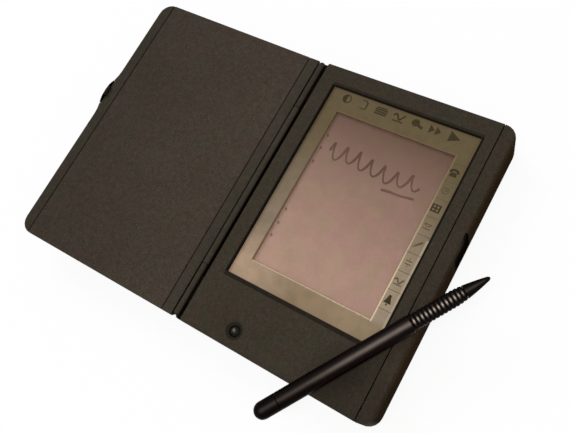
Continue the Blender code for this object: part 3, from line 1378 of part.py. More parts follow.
def make_pen():
    """Pen: end cap, barrel with a core, ribbed grip sleeve and tapered tip, on one axis."""
    axis = make_empty(
        "pen_axis",
        (HALF_WIDTH - PEN_INSET_X, -HALF_LENGTH - PEN_OVERHANG, BODY_HEIGHT + GAP + PEN_RADIUS),
        (0, math.pi / 2, PEN_HEADING),
    )
    quarter = math.pi / 2
    bore = PEN_RADIUS - PEN_CAP_WALL
    cap_floor = PEN_CAP_LENGTH - PEN_CAP_BORE
    cap_profile = [(0, cap_floor), (bore, cap_floor), (bore, PEN_CAP_LENGTH), (PEN_RADIUS, PEN_CAP_LENGTH)]
    butt = arc(0, PEN_RADIUS, PEN_RADIUS, 0, -quarter, ARC_STEPS)
    butt[-1] = (0, 0)
    cap = turned("pen_end_cap", cap_profile + butt, "gloss_black")

    barrel_start = PEN_CAP_LENGTH + GAP
    barrel_end = PEN_GRIP_START - GAP
    grip_end = PEN_GRIP_END
    grip_bore = pen_radius(grip_end) - PEN_GRIP_WALL
    core_radius = grip_bore - GAP
    core_end = grip_end - PEN_SPIGOT_LENGTH
    barrel_profile = [
        (0, core_end),
        (core_radius, core_end),
        (core_radius, barrel_end),
        (PEN_RADIUS - PEN_BARREL_EDGE, barrel_end),
        (PEN_RADIUS, barrel_end - PEN_BARREL_EDGE),
        (PEN_RADIUS, barrel_start),
        (bore - GAP, barrel_start),
        (bore - GAP, cap_floor + GAP),
        (0, cap_floor + GAP),
    ]
    barrel = turned("pen_barrel", barrel_profile, "gloss_black")

    pitch = PEN_GRIP_LENGTH / PEN_RIB_COUNT
    grip_profile = [(grip_bore, grip_end), (pen_radius(grip_end) - PEN_RIB_DEPTH, grip_end)]
    for number in reversed(range(PEN_RIB_COUNT)):
        rib_base = PEN_GRIP_START + pitch * number
        for share in PEN_CREST_SHARES:
            distance = rib_base + pitch * share
            grip_profile.append((pen_radius(distance), distance))
        grip_profile.append((pen_radius(rib_base) - PEN_RIB_DEPTH, rib_base))
    grip_profile.append((grip_bore, PEN_GRIP_START))
    grip = turned("pen_grip", grip_profile, "black_plastic")

    tip_start = grip_end + GAP
    nib_start = PEN_LENGTH - PEN_NIB_LENGTH
    steps = ARC_STEPS
    taper = [nib_start + (tip_start - nib_start) * index / steps for index in range(steps + 1)]
    tip_profile = [(0, PEN_LENGTH), (PEN_TIP_RADIUS / 2, PEN_LENGTH)]
    tip_profile += [(pen_radius(distance), distance) for distance in taper]
    tip_profile += [(core_radius, tip_start), (core_radius, core_end + GAP), (0, core_end + GAP)]
    tip = turned("pen_tip", tip_profile, "gloss_black")
    attach(axis, cap, barrel, grip, tip)


def build():
    """Make every piece."""
    make_lower_case()
    make_upper_case()
    make_side_rail()
    make_battery_door()
    make_screen()
    make_board()
    make_card_cage()
    make_serial_port()
    make_sounder()
    make_power()
    make_power_button()
    make_backup_cell()
    make_screws()
    make_knuckles()
    lid_axis = make_empty("lid_axis", (HINGE_X, 0, HINGE_Z), (0, LID_RISE, 0))
    make_lid_shell(lid_axis)
    make_lid_plates(lid_axis)
    make_hinge_strip(lid_axis)
    make_latch(lid_axis)
    make_pen()


clear_scene()
PARTS = make_collection(OBJECT_NAME)
TOOLS = make_collection("cutters")
build()
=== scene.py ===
"""Looks of the pen organizer: fine edges, finishes, printed marks, light and camera.

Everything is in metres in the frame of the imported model.
"""

import json
import math

import bmesh
import bpy
from mathutils import Matrix, Vector


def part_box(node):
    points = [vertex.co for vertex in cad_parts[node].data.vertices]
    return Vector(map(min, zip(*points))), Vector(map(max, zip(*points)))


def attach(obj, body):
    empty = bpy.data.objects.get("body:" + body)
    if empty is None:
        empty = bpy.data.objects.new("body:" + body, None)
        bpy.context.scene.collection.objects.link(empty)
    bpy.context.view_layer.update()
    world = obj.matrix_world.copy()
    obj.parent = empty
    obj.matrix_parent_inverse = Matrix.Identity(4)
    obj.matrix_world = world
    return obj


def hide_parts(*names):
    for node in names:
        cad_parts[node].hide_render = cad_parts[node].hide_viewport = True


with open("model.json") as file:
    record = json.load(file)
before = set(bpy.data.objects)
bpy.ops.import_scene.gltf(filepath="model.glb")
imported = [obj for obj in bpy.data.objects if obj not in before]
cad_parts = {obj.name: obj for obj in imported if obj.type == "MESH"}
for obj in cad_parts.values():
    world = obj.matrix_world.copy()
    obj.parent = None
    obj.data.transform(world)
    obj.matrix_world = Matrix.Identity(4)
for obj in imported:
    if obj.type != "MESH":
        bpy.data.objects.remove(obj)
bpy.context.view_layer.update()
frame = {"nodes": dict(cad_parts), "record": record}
NODES = frame["nodes"]
SLOTS = {part["node"]: part["material_slot"] for part in frame["record"]["subparts"]}
BODIES = {node: body for body, group in frame["record"]["behaviour"]["bodies"].items() for node in group}

MM = 0.001
WHITE = (1.0, 1.0, 1.0, 1.0)

# Three edges of the mask's opening over the display
SCREEN_LOWER, SCREEN_UPPER, SCREEN_RIGHT = -0.0358, 0.0555, 0.0318

# Window in the upper case, and the outer sides of the lines of painted shade on its left and its right
WINDOW_LEFT, WINDOW_RIGHT = -0.0444, 0.0397
WINDOW_LOWER, WINDOW_UPPER = -0.0474, 0.0690
SHADE_LINE_LEFT, SHADE_LINE_RIGHT = -0.0454, 0.0411

# Mask film: how far it reaches under the case, and the places between which its colours and its painted
# reflection change
FILM_LAP = 1.5 * MM
FILM_DOWN = (0.054, -0.034)
FILM_ACROSS = (-0.040, 0.024)
FILM_FOOT = ((-0.034, -0.006), (-0.034, -0.038))
FILM_CORNER = ((-0.004, -0.040), (-0.014, -0.038))
# Painted reflection low on the window's right: its width and its upper end
REFLECTION_STRIP_WIDTH, REFLECTION_STRIP_TOP = 1.5 * MM, 0.010
# Painted highlight along the rim round the opening: its gap, its widths on the right and below, and where its
# lower part starts
RIM_GAP, RIM_WIDTH, RIM_LOWER_WIDTH, RIM_START = 0.1 * MM, 0.8 * MM, 0.7 * MM, 0.004

# Deck: the corner below the pen with a painted shadow of the pen, along X and Y, and the depth of that shade
PEN_SHADOW_PLACE = ((0.012, 0.036), (-0.048, -0.064))
PEN_SHADOW_DEPTH = 0.26

# Rail: where painted warm shade on its outer side sets in along X and Y, and its colour
FLANK_ACROSS, FLANK_ALONG = (0.0525, 0.0542), (-0.074, -0.044)
FLANK_SHADE_COLOUR = (0.80, 0.69, 0.56, 1.0)

# Pen: its butt end in plan, the way it points, where its ribs start and how far apart they are
PEN_BUTT = Vector((0.0065, -0.0995, 0.0))
PEN_AXIS = Vector((math.cos(math.radians(57.6)), math.sin(math.radians(57.6)), 0.0))
PEN_GRIP_START, PEN_PITCH = 0.0828, 0.027 / 13

# Where the pen's painted highlight rises and falls: two places along the pen, and its share at each
PEN_RISE = (0.010, 0.078, 0.22, 1.0)
PEN_FALL = (0.104, 0.112, 1.0, 0.45)

# Distance between the dots of the display
DOT_PITCH = 0.27 * MM


# ---------------------------------------------------------------- materials

def linear(red, green, blue):
    """Scene-linear colour from 0-255 display values."""
    def channel(value):
        share = value / 255
        return share / 12.92 if share <= 0.04045 else ((share + 0.055) / 1.055) ** 2.4
    return (channel(red), channel(green), channel(blue), 1.0)


class Finish:
    """A Principled material that is built up node by node, in the piece's own coordinates."""

    def __init__(self, name, roughness=0.5, metallic=0.0, specular=0.5):
        self.material = bpy.data.materials.new(name)
        self.material.use_nodes = True
        self.tree = self.material.node_tree
        self.shader = self.tree.nodes["Principled BSDF"]
        self.shader.inputs["Roughness"].default_value = roughness
        self.shader.inputs["Metallic"].default_value = metallic
        self.shader.inputs["Specular IOR Level"].default_value = specular
        self.place = self.node("ShaderNodeTexCoord").outputs["Object"]
        self.axes = None

    def node(self, kind, **settings):
        made = self.tree.nodes.new(kind)
        for key, value in settings.items():
            setattr(made, key, value)
        return made

    def plug(self, socket, value):
        """Link a socket to another one, or set it to a plain value."""
        if isinstance(value, bpy.types.NodeSocket):
            self.tree.links.new(value, socket)
        elif value is not None:
            socket.default_value = value

    def axis(self, number):
        """One of the piece's own X, Y and Z."""
        if self.axes is None:
            self.axes = self.node("ShaderNodeSeparateXYZ")
            self.plug(self.axes.inputs[0], self.place)
        return self.axes.outputs[number]

    def maths(self, operation, first, second=None, third=None, clamp=False):
        made = self.node("ShaderNodeMath", operation=operation, use_clamp=clamp)
        for socket, value in zip(made.inputs, (first, second, third)):
            self.plug(socket, value)
        return made.outputs[0]

    def times(self, first, *others):
        """The product of several values."""
        product = first
        for other in others:
            product = self.maths("MULTIPLY", product, other)
        return product

    def dimmed(self, mask, depth):
        """1 outside a mask, and less by the depth inside it."""
        return self.maths("MULTIPLY_ADD", mask, -depth, 1.0)

    def span(self, value, low, high, start=0.0, end=1.0, smooth=True):
        """The start where a value is low, the end where it is high, and a passage in between."""
        made = self.node("ShaderNodeMapRange", interpolation_type="SMOOTHSTEP" if smooth else "LINEAR")
        entries = {"Value": value, "From Min": low, "From Max": high, "To Min": start, "To Max": end}
        for key, entry in entries.items():
            self.plug(made.inputs[key], entry)
        return made.outputs[0]

    def vary(self, noise, start, end):
        """A noise brought to the range from start to end."""
        return self.span(noise, 0.3, 0.7, start, end)

    def corner(self, across, along):
        """1 at one corner in plan, given the limits of its passage along X and along Y."""
        return self.times(self.span(self.axis(0), *across), self.span(self.axis(1), *along))

    def stretched(self, scale, turn=(0, 0, 0)):
        made = self.node("ShaderNodeMapping")
        made.inputs["Scale"].default_value = scale
        made.inputs["Rotation"].default_value = turn
        self.plug(made.inputs["Vector"], self.place)
        return made.outputs[0]

    def noise(self, size, detail=2.0, rough=0.5, where=None):
        """Noise with features of the given size in metres, or of a stretched place's own scale."""
        made = self.node("ShaderNodeTexNoise")
        made.inputs["Scale"].default_value = 1 / size
        made.inputs["Detail"].default_value = detail
        made.inputs["Roughness"].default_value = rough
        self.plug(made.inputs["Vector"], where or self.place)
        return made.outputs["Fac"]

    def mix(self, share, first, second, kind="MIX"):
        made = self.node("ShaderNodeMix", data_type="RGBA", blend_type=kind)
        self.plug(made.inputs["Factor"], share)
        self.plug(made.inputs[6], first)
        self.plug(made.inputs[7], second)
        return made.outputs[2]

    def shade(self, colour, amount):
        """A colour made lighter or darker by a value round 1."""
        made = self.node("ShaderNodeVectorMath", operation="SCALE")
        self.plug(made.inputs[0], colour[:3] if isinstance(colour, tuple) else colour)
        self.plug(made.inputs["Scale"], amount)
        return made.outputs[0]

    def edges(self, reach, low=0.02, high=0.25):
        """1 on the edges of the form and 0 on its faces."""
        bevel = self.node("ShaderNodeBevel", samples=4)
        bevel.inputs["Radius"].default_value = reach
        plain = self.node("ShaderNodeNewGeometry")
        dot = self.node("ShaderNodeVectorMath", operation="DOT_PRODUCT")
        self.plug(dot.inputs[0], bevel.outputs[0])
        self.plug(dot.inputs[1], plain.outputs["Normal"])
        return self.span(self.maths("SUBTRACT", 1.0, dot.outputs["Value"]), low, high)

    def worn(self, reach, size, patches, *limits):
        """Edges of the form that are worn in patches of the given size."""
        return self.times(self.edges(reach, *limits), self.span(self.noise(size, 3.0), *patches))

    def scratches(self, size, turn, amount=0.62):
        """Thin straight marks in one direction, with most of the surface left clean."""
        narrow, long = 1 / size, 1 / (size * 60)
        lines = self.noise(1.0, 1.0, 0.5, self.stretched((narrow, long, long), turn))
        patches = self.noise(0.018, 1.0)
        return self.times(self.span(lines, amount, amount + 0.08), self.span(patches, 0.45, 0.62))

    def within(self, low, high, soft=0.1 * MM):
        """1 inside a box and 0 outside it, in the piece's own coordinates; a side may be None."""
        mask = 1.0
        for number in range(3):
            for edge, inward in ((low[number], soft), (high[number], -soft)):
                if edge is not None:
                    mask = self.times(self.span(self.axis(number), edge, edge + inward), mask)
        return mask

    def away(self, middle):
        """Distance in plan from a point."""
        across, along = (
            self.maths("SUBTRACT", self.axis(number), place) for number, place in enumerate(middle)
        )
        return self.maths("SQRT", self.maths("MULTIPLY_ADD", across, across, self.times(along, along)))

    def colour(self, value):
        self.plug(self.shader.inputs["Base Color"], value)

    def roughness(self, value):
        self.plug(self.shader.inputs["Roughness"], value)

    def bump(self, *layers):
        """Height layers, each a value and its full height in metres."""
        normal = None
        for value, height in layers:
            made = self.node("ShaderNodeBump")
            made.inputs["Strength"].default_value = 1.0
            made.inputs["Distance"].default_value = height
            self.plug(made.inputs["Height"], value)
            if normal is not None:
                self.plug(made.inputs["Normal"], normal)
            normal = made.outputs[0]
        self.plug(self.shader.inputs["Normal"], normal)


def moulded(name, colour, roughness=0.7, specular=0.08, grain=0.6 * MM, speckle=0.34, height=0.03 * MM,
            wear=0.22, slopes=(), recesses=(), dish=None, add_painted_shade=None):
    """Moulded plastic: fine grain, slow colour drift, finger marks, scratches and polished edges.

    slopes: painted light and shade as changes of tone along an axis, each its number and what Finish.span
    takes after the value
    recesses: boxes of painted shade, each two corners, the depth of the shade and the width of its soft edge
    dish: a disc of painted shade, as the X and Y of its middle and its radius
    add_painted_shade: a function that adds places of painted shade to the finish
    """
    finish = Finish(name, roughness, 0.0, specular)
    fine = finish.noise(grain, 3.0, 0.7)
    drift = finish.noise(0.045, 3.0)
    smudge = finish.noise(0.020, 4.0, 0.6)
    mottle = finish.noise(2.6 * MM, 3.0, 0.6)
    hue = finish.noise(0.008, 3.0, 0.6)
    worn = finish.worn(0.4 * MM, 0.006, (0.35, 0.62))
    marks = finish.scratches(0.2 * MM, (0, 0, 0.6))

    tone = finish.maths("MULTIPLY_ADD", finish.span(fine, 0.32, 0.68), speckle, 1 - speckle / 2)
    tone = finish.times(tone, finish.vary(drift, 0.96, 1.04))
    tone = finish.times(tone, finish.vary(mottle, 1 - speckle / 5, 1 + speckle / 5))
    tone = finish.maths("MULTIPLY_ADD", marks, 0.14, tone)
    # Painted light and shade along the given axes
    for number, *limits in slopes:
        tone = finish.times(tone, finish.span(finish.axis(number), *limits))
    # Painted shade in the given boxes
    for low, high, depth, soft in recesses:
        tone = finish.times(tone, finish.dimmed(finish.within(low, high, soft), depth))
    # Painted shade in the dish
    if dish:
        *middle, radius = dish
        rim = finish.span(finish.away(middle), radius - 0.7 * MM, radius + 0.1 * MM, 0.50, 1.0)
        tone = finish.times(tone, rim)

    tint = finish.mix(finish.span(hue, 0.38, 0.62), (1.035, 0.985, 1.01, 1.0), (0.965, 1.015, 0.97, 1.0))
    base = finish.shade(finish.mix(1.0, tint, colour, "MULTIPLY"), tone)
    # Painted shade added by the given function
    if add_painted_shade:
        base = add_painted_shade(finish, base, specular)
    light = tuple(min(1.0, channel * 1.7 + 0.006) for channel in colour[:3]) + (1.0,)
    finish.colour(finish.mix(finish.times(worn, wear), base, light))
    rough = finish.span(smudge, 0.3, 0.72, roughness + 0.06, roughness - 0.07)
    rough = finish.maths("SUBTRACT", rough, finish.times(worn, 0.14))
    finish.roughness(finish.maths("SUBTRACT", rough, finish.times(marks, 0.1)))
    finish.bump((fine, height), (marks, -0.004 * MM))
    return finish.material


def casing_painted_shade(finish, base, specular):
    """Painted shadow of the pen on the deck's corner below it, and painted warm shade on the rail's outer
    side, which has no gloss.
    """
    base = finish.shade(base, finish.dimmed(finish.corner(*PEN_SHADOW_PLACE), PEN_SHADOW_DEPTH))
    outer = finish.span(finish.axis(0), *FLANK_ACROSS)
    dull = finish.maths("MULTIPLY_ADD", outer, -specular, specular)
    finish.plug(finish.shader.inputs["Specular IOR Level"], dull)
    warm_shaded = finish.times(outer, finish.span(finish.axis(1), *FLANK_ALONG, 0.5, 1.0))
    return finish.mix(warm_shaded, base, FLANK_SHADE_COLOUR, "MULTIPLY")


def pen_highlight_share(finish, share, ribs):
    """The share of the painted highlight along the pen, and on the crests only where the pen has ribs."""
    along = finish.times(finish.axis(1), PEN_AXIS.y)
    along = finish.maths("MULTIPLY_ADD", finish.axis(0), PEN_AXIS.x, along)
    along = finish.maths("SUBTRACT", along, PEN_BUTT.dot(PEN_AXIS))
    if ribs:
        phase = finish.maths("DIVIDE", finish.maths("SUBTRACT", along, PEN_GRIP_START), PEN_PITCH)
        off_crest = finish.maths("ABSOLUTE", finish.maths("SUBTRACT", finish.maths("FRACT", phase), 0.5))
        share = finish.times(share, finish.span(off_crest, 0.34, 0.14, 0.04, 1.0))
    return finish.times(share, finish.times(finish.span(along, *PEN_RISE), finish.span(along, *PEN_FALL)))


def polished_with_painted_highlight(name, colour, highlight_colour, facing, tight=34.0, roughness=0.3, specular=0.02, pen=True, ribs=False):
    """Dark polished plastic with a painted highlight where it faces one way, flecked with dust, and with
    smudges, fine scratches and worn edges.
    """
    finish = Finish(name, roughness, 0.0, specular)
    smudge = finish.noise(0.009, 4.0, 0.62)
    dust = finish.noise(0.35 * MM, 2.0, 0.7)
    hair = finish.scratches(0.12 * MM, (0.0, 0.3, 0.98), 0.6)
    # Painted highlight: its share grows the more the surface faces the given way
    lean = finish.node("ShaderNodeVectorMath", operation="DOT_PRODUCT")
    finish.plug(lean.inputs[0], finish.node("ShaderNodeNewGeometry").outputs["Normal"])
    lean.inputs[1].default_value = Vector(facing).normalized()
    toward = finish.maths("MAXIMUM", lean.outputs["Value"], 0.0)
    share = finish.maths("POWER", toward, tight)
    share = finish.maths("MULTIPLY_ADD", finish.maths("POWER", toward, 4.0), 0.03, share)
    if pen:
        share = pen_highlight_share(finish, share, ribs)
    share = finish.times(share, finish.vary(dust, 0.75, 1.2))
    share = finish.maths("MULTIPLY", share, finish.vary(smudge, 0.88, 1.1), clamp=True)
    worn = finish.worn(0.3 * MM, 0.004, (0.35, 0.6))
    base = finish.shade(colour, finish.vary(smudge, 0.85, 1.2))
    base = finish.mix(finish.times(worn, 0.35), base, finish.shade(highlight_colour, 0.35))
    finish.colour(finish.mix(share, base, highlight_colour))
    rough = finish.vary(smudge, roughness - 0.04, roughness + 0.1)
    finish.roughness(finish.maths("MULTIPLY_ADD", hair, 0.2, rough))
    finish.bump((dust, 0.004 * MM), (hair, -0.003 * MM))
    return finish.material


def film_colours(finish, down):
    """The film's colours with a painted reflection: dark olive at the top, paler and pinker towards the lower
    left.
    """
    base = finish.mix(down, linear(98, 85, 60), linear(157, 140, 118))
    left = finish.mix(down, (0.92, 0.92, 0.92, 1.0), (0.72, 0.70, 0.70, 1.0))
    right = finish.span(finish.axis(0), *FILM_ACROSS, smooth=False)
    base = finish.mix(1.0, base, finish.mix(right, left, WHITE), "MULTIPLY")
    base = finish.mix(finish.corner(*FILM_FOOT), base, (0.86, 0.80, 0.70, 1.0), "MULTIPLY")
    return finish.mix(finish.corner(*FILM_CORNER), base, linear(170, 145, 121))


def film_cut_edges(finish, base, down):
    """The film's cut edges: pale, with painted light on the sides of its opening that face the key lamp and
    painted shade on the others.
    """
    facing = finish.node("ShaderNodeSeparateXYZ")
    finish.plug(facing.inputs[0], finish.node("ShaderNodeNewGeometry").outputs["True Normal"])
    cut_edge = finish.span(facing.outputs[2], 0.95, 0.8)
    lit = finish.span(finish.maths("MULTIPLY_ADD", facing.outputs[1], -0.15, facing.outputs[0]), 0.3, -0.3)
    bright = finish.mix(down, linear(142, 116, 84), linear(232, 212, 180))
    return finish.mix(finish.times(cut_edge, 0.9), base, finish.mix(lit, linear(116, 96, 72), bright))


def film_painted_shade_and_reflection(finish, base):
    """Painted shade in dark lines along the window's left, lower and upper sides, and a painted reflection in
    a pale strip low on its right.
    """
    low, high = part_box("screen_overlay")
    clear_low = (low.x + FILM_LAP + 0.1 * MM, low.y + FILM_LAP + 0.6 * MM, None)
    clear_high = (None, high.y - FILM_LAP - 0.4 * MM, None)
    edge_shade = finish.maths("SUBTRACT", 1.0, finish.within(clear_low, clear_high, 0.25 * MM))
    base = finish.mix(finish.times(edge_shade, 0.95), base, linear(20, 13, 9))
    strip_left = high.x - FILM_LAP - REFLECTION_STRIP_WIDTH
    strip = finish.within((strip_left, None, None), (None, REFLECTION_STRIP_TOP, None), 0.2 * MM)
    return finish.mix(finish.times(strip, 0.6), base, linear(190, 174, 148))


def film_rim_highlight(finish, cloud):
    """Share of the painted highlight along the rim round the opening: whole on its right, and in flecks below
    it.
    """
    right, lower = SCREEN_RIGHT + RIM_GAP, SCREEN_LOWER - RIM_GAP
    side = finish.within((right, lower - RIM_WIDTH, None), (right + RIM_WIDTH, SCREEN_UPPER, None))
    below = finish.within((RIM_START, lower - RIM_LOWER_WIDTH, None), (right + RIM_WIDTH, lower, None))
    flecks = finish.span(finish.noise(1.6 * MM, 2.0), 0.46, 0.62)
    rim = finish.maths("MAXIMUM", side, finish.times(below, flecks))
    return finish.times(rim, finish.span(cloud, 0.3, 0.6, 0.45, 0.85))


def printed_film():
    """The mask round the screen: printed film with a fine grain and worn edges, under a painted reflection,
    with painted shade in dark lines round it and a painted highlight along its rim.
    """
    finish = Finish("screen_mask_film", 0.5, 0.0, 0.08)
    down = finish.span(finish.axis(1), *FILM_DOWN)
    fine = finish.noise(0.3 * MM, 3.0, 0.7)
    cloud = finish.noise(0.006, 4.0, 0.65)
    tone = finish.times(finish.vary(fine, 0.80, 1.20), finish.vary(cloud, 0.92, 1.08))
    worn = finish.worn(0.3 * MM, 0.005, (0.3, 0.6), 0.03, 0.3)
    base = finish.shade(film_colours(finish, down), tone)
    base = finish.mix(finish.times(worn, 0.4), base, linear(205, 190, 158))
    base = film_cut_edges(finish, base, down)
    base = film_painted_shade_and_reflection(finish, base)
    # Colour of the painted highlight on the rim, following the painted reflection
    pale = finish.mix(down, linear(128, 106, 74), linear(222, 200, 166))
    finish.colour(finish.mix(film_rim_highlight(finish, cloud), base, pale))
    finish.roughness(finish.vary(cloud, 0.42, 0.58))
    finish.bump((fine, 0.008 * MM), (cloud, 0.01 * MM))
    return finish.material


def screen_colour(finish):
    """Warm brown-pink of the display with a painted reflection: dark at the top and palest at the lower left.
    """
    down = finish.span(finish.axis(1), 0.055, -0.036, smooth=False)
    rest = finish.maths("SUBTRACT", 1.0, down)
    curve = finish.maths("SUBTRACT", 1.0, finish.maths("POWER", rest, 1.5))
    base = finish.mix(curve, linear(119, 93, 79), linear(190, 158, 142))
    across = finish.span(finish.axis(0), -0.036, 0.032, 1.03, 1.0, smooth=False)
    warmth = finish.noise(0.013, 3.0, 0.55)
    tint = finish.mix(finish.span(warmth, 0.35, 0.65), (1.03, 0.98, 1.0, 1.0), (0.98, 1.02, 0.94, 1.0))
    return finish.shade(finish.mix(1.0, base, tint, "MULTIPLY"), across)


def display():
    """Reflective display under its polariser: uneven, with a faint grid of dots."""
    finish = Finish("display_glass", 0.4, 0.0, 0.12)
    cloud = finish.noise(0.010, 4.0, 0.6)
    fine = finish.noise(0.35 * MM, 3.0, 0.7)
    rows, columns = (
        finish.maths("ABSOLUTE", finish.maths("SINE", finish.times(finish.axis(number), math.pi / DOT_PITCH)))
        for number in (1, 0)
    )
    cell = finish.span(finish.maths("MINIMUM", rows, columns), 0.0, 0.35, 0.93, 1.0)
    tone = finish.times(finish.vary(cloud, 0.92, 1.08), cell, finish.vary(fine, 0.83, 1.17))
    # The colour carries the painted reflection of screen_colour
    finish.colour(finish.shade(screen_colour(finish), tone))
    finish.roughness(finish.vary(cloud, 0.34, 0.46))
    finish.bump((fine, 0.003 * MM))
    return finish.material


def clear_sheet():
    """Anti-glare touch panel: most light passes, and its matt face adds a little haze and wipe marks."""
    finish = Finish("touch_sheet", 0.35, 0.0, 0.15)
    smear = finish.noise(0.014, 4.0, 0.6, finish.stretched((1.0, 0.35, 1.0), (0, 0, 0.5)))
    fine = finish.noise(0.5 * MM, 2.0)
    # Its colour is the display's, with the same painted reflection
    finish.colour(finish.shade(screen_colour(finish), finish.vary(smear, 0.95, 1.08)))
    finish.roughness(finish.vary(smear, 0.28, 0.42))
    finish.plug(finish.shader.inputs["Alpha"], finish.span(smear, 0.25, 0.75, 0.2, 0.25))
    finish.bump((smear, 0.006 * MM), (fine, 0.001 * MM))
    return finish.material


def metal(name, colour, roughness, grain=(1.0, 1.0, 1.0)):
    """Plated metal with a drawn grain, dull patches and brighter edges."""
    finish = Finish(name, roughness, 1.0)
    drawn = finish.noise(0.25 * MM, 2.0, 0.6, finish.stretched(grain))
    patch = finish.noise(0.006, 3.0, 0.6)
    tone = finish.times(finish.vary(drawn, 0.9, 1.06), finish.vary(patch, 0.84, 1.05))
    bright = tuple(min(1.0, channel * 1.25) for channel in colour[:3]) + (1.0,)
    edge = finish.times(finish.edges(0.25 * MM), 0.6)
    finish.colour(finish.mix(edge, finish.shade(colour, tone), bright))
    finish.roughness(finish.vary(patch, roughness - 0.06, roughness + 0.14))
    finish.bump((drawn, 0.004 * MM))
    return finish.material


def board_mask():
    """Solder mask over copper, with faint tracks and scattered holes."""
    finish = Finish("board_laminate", 0.4, 0.0, 0.45)

    def cells(scale, **settings):
        made = finish.node("ShaderNodeTexVoronoi", feature="F1", **settings)
        made.inputs["Scale"].default_value = scale
        finish.plug(made.inputs["Vector"], finish.place)
        return made.outputs["Distance"]

    track = finish.span(cells(260, distance="CHEBYCHEV"), 0.30, 0.42)
    hole = finish.span(cells(330), 0.14, 0.08)
    cloud = finish.noise(0.012, 3.0)
    green = finish.mix(track, linear(16, 74, 46), linear(30, 108, 64))
    green = finish.shade(green, finish.vary(cloud, 0.88, 1.1))
    finish.colour(finish.mix(hole, green, linear(176, 170, 150)))
    finish.roughness(finish.vary(cloud, 0.32, 0.46))
    finish.bump((track, 0.03 * MM), (hole, 0.03 * MM))
    return finish.material


def film_cable():
    """Amber film with copper tracks, 1 mm apart, that run along it."""
    finish = Finish("film_cable", 0.35, 0.0, 0.5)
    wave = finish.maths("SINE", finish.times(finish.axis(1), math.tau / (1.0 * MM)))
    track = finish.span(wave, -0.1, 0.3)
    cloud = finish.noise(0.004, 3.0)
    base = finish.mix(track, linear(196, 128, 52), linear(150, 82, 34))
    finish.colour(finish.shade(base, finish.vary(cloud, 0.86, 1.1)))
    finish.roughness(finish.vary(cloud, 0.28, 0.45))
    finish.bump((track, 0.02 * MM))
    return finish.material


def cell_wrap():
    """Printed film round a cell: a dark band, a copper-coloured end and worn edges."""
    finish = Finish("cell_film", 0.35, 0.0, 0.5)
    ends = []
    for name in ("battery_cell_1", "battery_cell_2", "battery_cell_3"):
        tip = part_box(name)[1].x
        start = finish.span(finish.axis(0), tip - 0.0145, tip - 0.0140)
        ends.append(finish.times(start, finish.span(finish.axis(0), tip + 0.0002, tip)))
    # The first two cells share the row with the greater Y, and the third lies in the other row
    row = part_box("battery_cell_2")[0].y
    upper_row = finish.span(finish.axis(1), row - 0.0001, row)
    lower_row = finish.maths("SUBTRACT", 1.0, upper_row)
    upper_ends = finish.times(finish.maths("MAXIMUM", ends[0], ends[1]), upper_row)
    copper = finish.maths("MAXIMUM", finish.times(ends[2], lower_row), upper_ends)
    cloud = finish.noise(0.005, 3.0, 0.6)
    fine = finish.noise(0.4 * MM, 2.0)
    base = finish.mix(copper, linear(58, 62, 70), linear(176, 112, 66))
    base = finish.shade(base, finish.vary(cloud, 0.86, 1.1))
    worn = finish.times(finish.edges(0.4 * MM), finish.span(fine, 0.35, 0.6))
    finish.colour(finish.mix(worn, base, linear(188, 188, 184)))
    finish.roughness(finish.vary(cloud, 0.28, 0.42))
    finish.bump((cloud, 0.02 * MM), (fine, 0.004 * MM))
    return finish.material


def ink(name, colour, roughness=0.5):
    """Printed mark: slightly uneven in colour and gloss."""
    finish = Finish(name, roughness, 0.0, 0.04)
    blot = finish.noise(1.2 * MM, 3.0, 0.6)
    fine = finish.noise(0.2 * MM, 2.0)
    finish.colour(finish.shade(colour, finish.vary(blot, 0.8, 1.25)))
    finish.roughness(finish.vary(blot, roughness - 0.08, roughness + 0.08))
    finish.bump((fine, 0.002 * MM))
    return finish.material


# Painted shade in the casing's colour, in the latch notch, the hinge groove and along the window: two
# corners, the depth of the shade, and the width of its soft edge
PAINTED_SHADE_RECESSES = (
    # Latch notch in the rail, then its mouth
    ((0.0518, 0.0055, 0.0020), (0.05452, 0.0212, 0.0200), 0.8, 0.1 * MM),
    ((0.05325, 0.0149, 0.0170), (0.05445, 0.0207, 0.02068), 0.8, 0.1 * MM),
    # Hinge groove, low down and then at its top
    ((-0.0606, None, 0.0150), (-0.0539, None, 0.0196), 0.8, 0.1 * MM),
    ((-0.0592, None, 0.0190), (-0.0552, None, 0.0209), 0.8, 0.1 * MM),
    # Shade lines on the right and the left of the window, then softer ones below and above it
    ((WINDOW_RIGHT, WINDOW_LOWER, 0.0180), (SHADE_LINE_RIGHT, WINDOW_UPPER, 0.0210), 0.8, 0.1 * MM),
    ((SHADE_LINE_LEFT, WINDOW_LOWER, 0.0180), (WINDOW_LEFT, WINDOW_UPPER, 0.0210), 0.8, 0.1 * MM),
    ((SHADE_LINE_LEFT, -0.0494, 0.0170), (SHADE_LINE_RIGHT, -0.0470, 0.0220), 0.6, 0.5 * MM),
    ((SHADE_LINE_LEFT, 0.0686, 0.0170), (SHADE_LINE_RIGHT, 0.0706, 0.0220), 0.45, 0.5 * MM),
)
# Painted shade in the same way on the lid's strips, beside the hinge groove
HINGE_PAINTED_SHADE = (
    ((-0.0606, None, 0.0160), (-0.0586, None, 0.0190), 0.8, 0.1 * MM),
    ((-0.0592, None, 0.0190), (-0.0552, None, 0.0207), 0.8, 0.1 * MM),
)
# Painted shade and light on the casing: darker down its walls, and a little paler towards its lower end
CASING_SLOPES = (
    (2, 0.0170, 0.0204, 0.70, 1.0),
    (1, -0.070, 0.075, 1.05, 0.93, False),
)
# Painted shade in the dish round the power button: the X and Y of its middle and its radius
BUTTON_DISH_SHADE = (-0.0247, -0.0714, 0.0049)
BLACK = linear(8, 3, 2)
